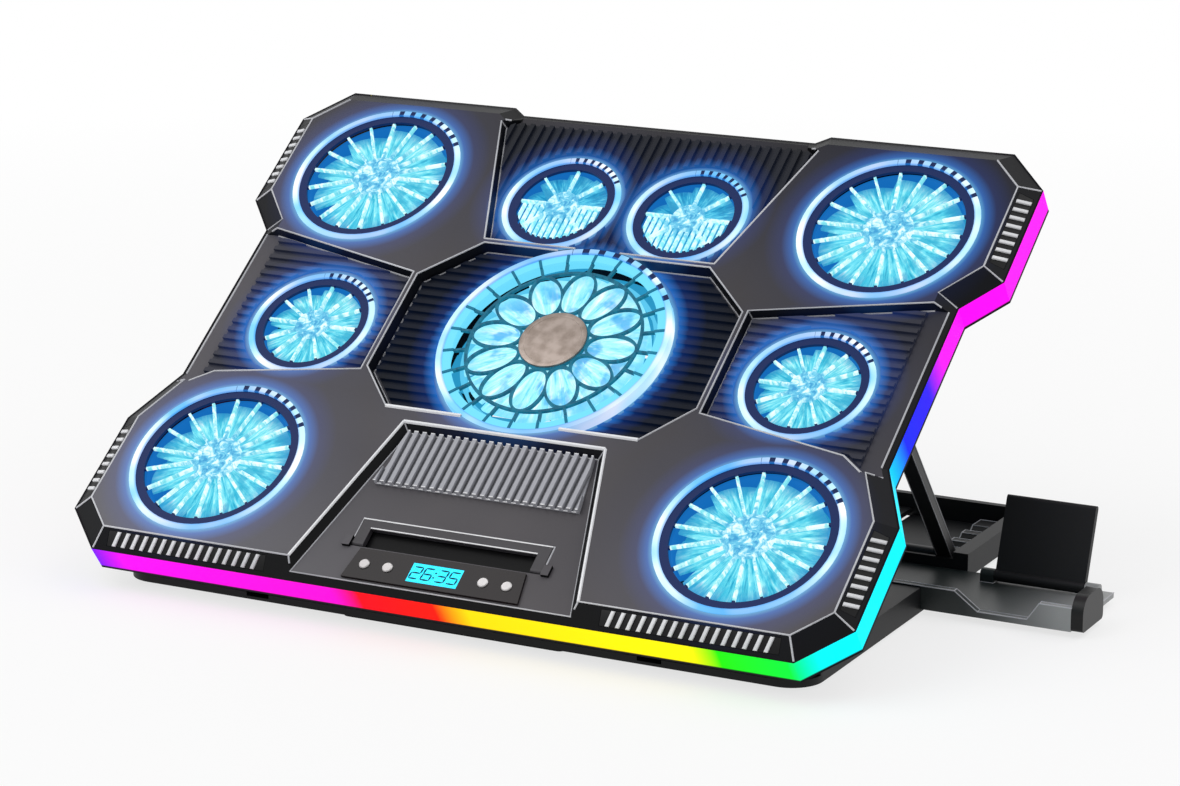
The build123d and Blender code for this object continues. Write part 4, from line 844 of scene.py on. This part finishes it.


# Painted highlights on moulded arrises that catch the light: a fine pale bead along each chosen edge, of
# these radii
arris = {
    "coverRadius": 0.00048, "beadRadius": 0.0010, "apronRadius": 0.0008, "fineRadius": 0.00028,
    "stopRadius": 0.00036,
    "fold": 18.0, "level": 0.99, "slope": (0.3, 0.95),      # degrees, and upward parts of a face's normal
    "borderDepth": 0.0062, "topDepth": 0.0005,              # how far under the pods' top an edge may lie
    "rearMargin": 0.012, "stopMargin": 0.003, "stopBack": 0.001,
    "octagonFront": (-0.08, -0.04), "octagonSkew": 0.0005, "longSide": 0.03,
    "apronBack": -0.03, "apronSide": (0.03, 0.13),
    "slatSkew": 0.0001, "slatLongest": 0.004, "coverShortest": 0.009,
    "stopLong": 0.08, "trayLip": 0.168, "trayShortest": 0.003, "rackHeight": 0.004,
}


def isFold(edge):
    return len(edge.link_faces) == 2 and edge.calc_face_angle(0) > math.radians(arris["fold"])


# Whether an edge lies in the pods' top
def isOnTop(edge):
    return min(v.co.z for v in edge.verts) > -arris["topDepth"]


# How far back its front end and its rear end lie
def endsAhead(edge):
    return sorted(v.co.y for v in edge.verts)


# The chosen edges are drawn off a copy of the node, and each becomes a fine rounded bar, a painted highlight
def modelArris(node, name, radius, finish, wanted, body="deck"):
    source = mergedCopy(node, name, body == "deck")
    choose(source, "EDGE", wanted)
    bpy.ops.mesh.duplicate()
    bpy.ops.mesh.separate(type="SELECTED")
    bpy.ops.object.mode_set(mode="OBJECT")
    lines = [piece for piece in bpy.context.selected_objects if piece != source][0]
    bpy.data.objects.remove(source)
    only(lines)
    bpy.ops.object.convert(target="CURVE")
    lines.data.bevel_depth = radius
    lines.data.bevel_resolution = 1
    lines.data.use_fill_caps = True
    bpy.ops.object.convert(target="MESH")
    settle(bpy.context.object, name, finish, body, body == "deck")


stopLow, stopHigh = deckBox("laptop_stop")
coverRear = deckBox("top_cover")[1].y


# The top faces' long edges, and the mitres that run down the border's corners, but not the dull rear edge,
# and nothing that the stop would rub
def isCoverArris(edge):
    heights = sorted(v.co.z for v in edge.verts)
    if not isFold(edge) or heights[0] <= -arris["borderDepth"]:
        return False
    level = sum(f.normal.z > arris["level"] for f in edge.link_faces)
    sloped = sum(arris["slope"][0] < f.normal.z < arris["slope"][1] for f in edge.link_faces)
    long = level == 1 and edge.calc_length() > arris["coverShortest"]
    mitre = sloped == 2 and heights[1] > -arris["topDepth"]
    byStop = all(stopLow.y - arris["stopMargin"] < v.co.y < stopHigh.y - arris["stopBack"]
                 and abs(v.co.x) < stopHigh.x + arris["stopMargin"] for v in edge.verts)
    rear = endsAhead(edge)[0] > coverRear - arris["rearMargin"]
    return (long or mitre) and not byStop and not rear


# The octagon's front edge, between the large fan and the slats, has a broader painted highlight
def isOctagonFront(edge):
    near, far = endsAhead(edge)
    placed = isOnTop(edge) and arris["octagonFront"][0] < edge.verts[0].co.y < arris["octagonFront"][1]
    straight = far - near < arris["octagonSkew"]
    return isFold(edge) and straight and placed and edge.calc_length() > arris["longSide"]


# The pods' edges over the apron, which slope towards each other
def isApronEdge(edge):
    near, far = endsAhead(edge)
    across = [abs(v.co.x) for v in edge.verts]
    between = arris["apronSide"][0] < min(across) and max(across) < arris["apronSide"][1]
    return (isFold(edge) and isOnTop(edge) and far < arris["apronBack"] and between
            and far - near > arris["longSide"])


def isSlatEnd(edge):
    near, far = endsAhead(edge)
    level = max(f.normal.z for f in edge.link_faces) > arris["level"]
    straight = far - near < arris["slatSkew"]
    return isFold(edge) and level and straight and edge.calc_length() < arris["slatLongest"]


def isStopArris(edge):
    long = edge.calc_length() > arris["stopLong"]
    return isFold(edge) and long and max(f.normal.dot(deckUp) for f in edge.link_faces) > arris["level"]


def isTrayArris(edge):
    upward = max(f.normal.z for f in edge.link_faces) > arris["slope"][0]
    placed = min(v.co.x for v in edge.verts) > arris["trayLip"]
    return isFold(edge) and upward and placed and edge.calc_length() > arris["trayShortest"]


def isStrutArris(edge):
    return isFold(edge) and edge.calc_length() > arris["longSide"]


def isRackArris(edge):
    return isFold(edge) and edge.verts[0].co.z + edge.verts[1].co.z > 2 * arris["rackHeight"]


modelArris("top_cover", "pod_edge_lines", arris["coverRadius"], "arris", isCoverArris)
modelArris("top_cover", "octagon_front_bead", arris["beadRadius"], "brightArris", isOctagonFront)
modelArris("top_cover", "apron_edge_beads", arris["apronRadius"], "brightArris", isApronEdge)
modelArris("vent_plate", "slat_end_lines", arris["fineRadius"], "brightArris", isSlatEnd)
modelArris("laptop_stop", "stop_edge_lines", arris["stopRadius"], "brightArris", isStopArris, "laptop_stop")
modelArris("phone_tray", "tray_edge_lines", arris["fineRadius"], "arris", isTrayArris, "tray")
modelArris("strut", "strut_edge_lines", arris["fineRadius"], "rubbedSteel", isStrutArris, "strut")
modelArris("strut_racks", "rack_edge_lines", arris["fineRadius"], "arris", isRackArris, "base")
print("arrises modelled")

# Toothed inserts in the border's slope: a black bed, as painted shade between the teeth, and pale slanted
# teeth, as a painted highlight, rounded along their tops
vent = {"bed": 0.0010, "bedShare": 0.9, "pitch": 0.0053, "tooth": 0.0020, "lean": 0.0022, "round": 0.0004,
        "edge": 0.0002}


# A rounded block whose ends are pushed apart sideways by its lean
def modelBlock(size, middle, rounding, lean=0.0):
    bpy.ops.mesh.primitive_cube_add(size=1, location=(0, 0, 0))
    block = bpy.context.object
    block.scale = size
    bpy.ops.object.transform_apply(scale=True)
    for side in (-1, 1):
        choose(block, "VERT", lambda v: v.co.y * side > 0)
        bpy.ops.transform.translate(value=(side * lean / 2, 0, 0))
    choose(block, "EDGE", lambda edge: all(v.co.z > 0 for v in edge.verts))
    bpy.ops.mesh.bevel(offset=rounding, segments=2, affect="EDGES")
    bpy.ops.object.mode_set(mode="OBJECT")
    block.location = middle
    bpy.ops.object.transform_apply(location=True)
    return block


def modelVents():
    beds, teeth = [], []
    for insert in looseParts("bevel_vents"):
        out = insert["facing"]
        along = Vector((0, 0, 1)).cross(out).normalized()
        up = out.cross(along)
        local = [Vector((p.dot(along), p.dot(up), p.dot(out))) for p in insert["points"]]
        low, high = Vector(map(min, zip(*local))), Vector(map(max, zip(*local)))
        length, width, depth = high - low
        frameMatrix = Matrix((along, up, out)).transposed().to_4x4()
        frameMatrix.translation = along * (low.x + high.x) / 2 + up * (low.y + high.y) / 2 + out * low.z
        # the right side's teeth lean the other way
        lean = vent["lean"] * (-1 if out.x > 0.1 else 1)
        made = [modelBlock((length, width, vent["bed"]), (0, 0, vent["bed"] / 2), vent["edge"])]
        toothSize = (vent["tooth"], width - 2 * vent["edge"], depth - vent["bed"] * vent["bedShare"])
        first = modelBlock(toothSize, (0, 0, depth - toothSize[2] / 2), vent["round"], lean)
        count = int(length / vent["pitch"])
        for number in range(count):
            only(first)
            bpy.ops.object.duplicate(linked=False)
            bpy.context.object.location.x = (number - (count - 1) / 2) * vent["pitch"]
            made.append(bpy.context.object)
        bpy.data.objects.remove(first)
        for piece in made:
            piece.matrix_world = frameMatrix @ Matrix.Translation(piece.location)
        beds.append(made[0])
        teeth += made[1:]
    for name, finish, pieces in (("vent_beds", "bedAbs", beds), ("vent_teeth", "toothAbs", teeth)):
        only(*pieces)
        bpy.ops.object.transform_apply(location=True, rotation=True, scale=True)
        bpy.ops.object.join()
        settle(bpy.context.object, name, finish, "deck")
    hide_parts("bevel_vents")


modelVents()
print("toothed inserts modelled")

# Display: dark liquid-crystal digits of seven strokes each, a plain reading with a colon
lcd = {
    "reading": "2635",
    "width": 0.17, "height": 0.62, "space": 0.06,           # shares of the window's width and depth
    "stroke": 0.00085, "strokeShare": 0.94, "thick": 0.00008, "lift": 0.00001,
    "lean": 8.0,                                            # degrees
    "colonGap": 0.12, "dots": 0.2, "dotLong": 1.3,          # shares of a step, a digit's height and a stroke
}
# each stroke's middle, as shares of the digit's width and height, and its turn in degrees
strokes = {"a": (0.5, 1.0, 0), "b": (1.0, 0.75, 90), "c": (1.0, 0.25, 90), "d": (0.5, 0.0, 0),
           "e": (0.0, 0.25, 90), "f": (0.0, 0.75, 90), "g": (0.5, 0.5, 0)}
figures = {"2": "abged", "3": "abgcd", "5": "afgcd", "6": "afgedc"}


# One stroke: a flat hexagon drawn out to its length
def modelStroke(length, width, x, y, turn):
    bpy.ops.mesh.primitive_circle_add(vertices=6, radius=width / 2, fill_type="NGON", location=(0, 0, 0))
    stroke = bpy.context.object
    choose(stroke, "VERT", lambda v: abs(v.co.x) < width and v.co.x > 0)
    bpy.ops.transform.translate(value=((length - width) / 2, 0, 0))
    choose(stroke, "VERT", lambda v: v.co.x < 0)
    bpy.ops.transform.translate(value=(-(length - width) / 2, 0, 0))
    bpy.ops.mesh.select_all(action="SELECT")
    bpy.ops.mesh.extrude_region_move(TRANSFORM_OT_translate={"value": (0, 0, lcd["thick"])})
    bpy.ops.object.mode_set(mode="OBJECT")
    stroke.rotation_euler = (0, 0, math.radians(turn))
    stroke.location = (x, y, 0)
    bpy.ops.object.transform_apply(location=True, rotation=True)
    return stroke


def modelDigits():
    low, high = deckBox("display_window")
    width, depth = high.x - low.x, high.y - low.y
    digit = Vector((width * lcd["width"], depth * lcd["height"]))
    step = digit.x + width * lcd["space"]
    lean = math.tan(math.radians(lcd["lean"]))
    made = []
    for number, figure in enumerate(lcd["reading"]):
        place = number - (len(lcd["reading"]) - 1) / 2
        left = place * step - digit.x / 2 + math.copysign(step * lcd["colonGap"], place)
        for letter in figures[figure]:
            shareX, shareY, turn = strokes[letter]
            length = (digit.x if turn == 0 else digit.y / 2) * lcd["strokeShare"]
            up = (shareY - 0.5) * digit.y
            made.append(modelStroke(length, lcd["stroke"], left + shareX * digit.x + up * lean, up,
                                    turn - (lcd["lean"] if turn else 0)))
    for side in (-1, 1):
        up = side * lcd["dots"] * digit.y
        made.append(modelStroke(lcd["stroke"] * lcd["dotLong"], lcd["stroke"], up * lean, up, 0))
    only(*made)
    bpy.ops.object.join()
    digits = bpy.context.object
    digits.location = ((low.x + high.x) / 2, (low.y + high.y) / 2, high.z + lcd["lift"])
    settle(digits, "display_digits", "liquidCrystal", "deck")


modelDigits()
print("display digits modelled")

# Self-tapping screws in the underside: pan head with a cross recess, and the shank up into its post
screw = {"slot": 0.00075, "reach": 0.0017, "deep": 0.0007, "crown": 0.00045, "shankShare": 0.5,
         "taper": 0.6, "turn": 37}


def modelScrews():
    spots = looseParts("case_screws")
    # the second height up a screw's own vertices is where its head ends
    low, high = spots[0]["low"], spots[0]["high"]
    headRadius = (high.x - low.x) / 2
    headHeight = sorted(set(round(point.z - low.z, 5) for point in spots[0]["points"]))[1]
    bpy.ops.mesh.primitive_cylinder_add(vertices=32, radius=headRadius, depth=headHeight,
                                        location=(0, 0, headHeight / 2))
    head = bpy.context.object
    bpy.ops.object.transform_apply(location=True)
    choose(head, "FACE", lambda f: f.normal.z < -0.9)
    bpy.ops.mesh.bevel(offset=screw["crown"], segments=3, affect="EDGES")
    # the shank is drawn up out of the head's upper face, and narrows to its tip
    choose(head, "FACE", isUpperEnd)
    bpy.ops.mesh.inset(thickness=headRadius * screw["shankShare"])
    bpy.ops.mesh.extrude_region_move(TRANSFORM_OT_translate={"value": (0, 0, high.z - low.z - headHeight)})
    bpy.ops.transform.resize(value=(screw["taper"], screw["taper"], 1))
    bpy.ops.object.mode_set(mode="OBJECT")
    for turn in (0, 90):
        bpy.ops.mesh.primitive_cube_add(size=1, location=(0, 0, 0))
        slotCutter = bpy.context.object
        slotCutter.scale = (2 * screw["reach"], screw["slot"], 2 * screw["deep"])
        slotCutter.rotation_euler = (0, 0, math.radians(turn))
        bpy.ops.object.transform_apply(rotation=True, scale=True)
        applyModifier(head, "BOOLEAN", operation="DIFFERENCE", object=slotCutter, solver="EXACT")
        bpy.data.objects.remove(slotCutter)
    made = []
    for spot in spots:
        low, high = spot["low"], spot["high"]
        only(head)
        bpy.ops.object.duplicate(linked=False)
        copy = bpy.context.object
        copy.location = ((low.x + high.x) / 2, (low.y + high.y) / 2, low.z)
        copy.rotation_euler = (0, 0, math.radians(screw["turn"] * len(made) % 90))
        bpy.ops.object.transform_apply(location=True, rotation=True)
        made.append(copy)
    bpy.data.objects.remove(head)
    only(*made)
    bpy.ops.object.join()
    piece = bpy.context.object
    settle(piece, "cross_recess_screws", "steel", "deck")
    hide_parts("case_screws")


modelScrews()
print("screws modelled")

# Sprung contacts on each socket's tongue, gold-plated strips with a rolled end
contact = {"count": 4, "pitch": 0.0022, "width": 0.0011, "length": 0.0062, "thick": 0.00018,
           "roll": 0.0004, "rollFrom": 0.44, "rollReach": 0.3,      # height, and shares of the length
           "back": 0.0076, "lift": 0.0009}                          # from the socket's mouth and middle


def modelContacts():
    made = []
    for socket in looseParts("usb_ports"):
        high = socket["high"]
        middle = (socket["low"] + high) / 2
        for number in range(contact["count"]):
            across = (number - (contact["count"] - 1) / 2) * contact["pitch"]
            bpy.ops.mesh.primitive_grid_add(x_subdivisions=2, y_subdivisions=8, size=1, location=(0, 0, 0))
            strip = bpy.context.object
            strip.scale = (contact["width"], contact["length"], 1)
            bpy.ops.object.transform_apply(scale=True)
            choose(strip, "VERT", lambda v: v.co.y > contact["length"] * contact["rollFrom"])
            bpy.ops.transform.translate(value=(0, 0, -contact["roll"]), use_proportional_edit=True,
                                        proportional_edit_falloff="SHARP",
                                        proportional_size=contact["length"] * contact["rollReach"])
            bpy.ops.object.mode_set(mode="OBJECT")
            applyModifier(strip, "SOLIDIFY", thickness=contact["thick"], offset=0)
            strip.location = (middle.x + across, high.y - contact["back"],
                              middle.z + contact["lift"] + contact["thick"] / 2)
            bpy.ops.object.transform_apply(location=True)
            made.append(strip)
    only(*made)
    bpy.ops.object.join()
    settle(bpy.context.object, "socket_contacts", "contactGold", "deck")


modelContacts()
print("socket contacts modelled")


# Where the camera, a mirror or glass sees a surface, and not where it lights something
def seenRays(tree):
    rays = addNode(tree, "LightPath")
    mirror = addNode(tree, "Math", {0: rays.outputs["Is Glossy Ray"], 1: rays.outputs["Is Transmission Ray"]},
                     operation="MAXIMUM").outputs[0]
    return addNode(tree, "Math", {0: rays.outputs["Is Camera Ray"], 1: mirror},
                   operation="MAXIMUM").outputs[0]


# A white paper floor that shades off into a white room, and two soft lamps over it
room = {
    "floor": 12.0, "world": 0.5,
    "near": 0.3, "far": 1.4, "nearShare": 0.72,     # plain white beyond far, and this share of it up to near
    "lampSize": 1.8, "aim": (0, 0.1, 0.1),
    "lamps": [((-1.0, -0.9, 1.6), 19.0), ((1.1, 0.6, 1.6), 11.4)],      # place and watts
}

bpy.ops.mesh.primitive_plane_add(size=room["floor"], location=(0, 0, cadLow.z))
floor = bpy.context.object
floor.name = "floor"
# white paper: matt, with no shine, and the object's soft shadow on it
paper, tree, shader = newMaterial("whitePaperFloor")
shader.inputs["Base Color"].default_value = hexColour("#f4f4f4")
shader.inputs["Roughness"].default_value = 0.9
white = addNode(tree, "Emission", {"Color": (1, 1, 1, 1), "Strength": 1.0})
distance = addNode(tree, "VectorMath", {0: addNode(tree, "TexCoord").outputs["Object"]}, operation="LENGTH")
plain = addNode(tree, "MapRange", {"Value": distance.outputs["Value"], "From Min": room["near"],
                                   "From Max": room["far"], "To Min": room["nearShare"], "To Max": 1.0})
share = addNode(tree, "Math", {0: seenRays(tree), 1: plain.outputs[0]}, operation="MULTIPLY")
mixed = addNode(tree, "MixShader", {0: share.outputs[0], 1: shader.outputs[0], 2: white.outputs[0]})
tree.links.new(mixed.outputs[0], tree.nodes["Material Output"].inputs["Surface"])
floor.data.materials.append(paper)

world = bpy.data.worlds.new("whiteRoom")
bpy.context.scene.world = world
world.use_nodes = True
sky = world.node_tree
level = addNode(sky, "MapRange", {"Value": seenRays(sky), "To Min": room["world"], "To Max": 1.0})
sky.links.new(level.outputs[0], sky.nodes["Background"].inputs["Strength"])
sky.nodes["Background"].inputs["Color"].default_value = (1, 1, 1, 1)

for place, power in room["lamps"]:
    bpy.ops.object.light_add(type="AREA", location=place)
    lamp = bpy.context.object
    lamp.data.size = room["lampSize"]
    lamp.data.energy = power
    lamp.rotation_euler = (Vector(room["aim"]) - Vector(place)).to_track_quat("-Z", "Y").to_euler()
print("room and lamps set:", len(room["lamps"]))

# The camera looks down on the front right corner from 1.7 metres away, through a long lens
eye = {"place": (0.8199, -1.4372, 0.5465), "azimuth": 27.495, "elevation": 14.582, "lens": 112.0, "sight": 20}
bpy.ops.object.camera_add(location=eye["place"],
                          rotation=(math.radians(90 - eye["elevation"]), 0, math.radians(eye["azimuth"])))
camera = bpy.context.object
camera.data.lens = eye["lens"]
camera.data.clip_end = eye["sight"]
bpy.context.scene.camera = camera
bpy.context.scene.view_settings.view_transform = "Standard"

print("scene finished")
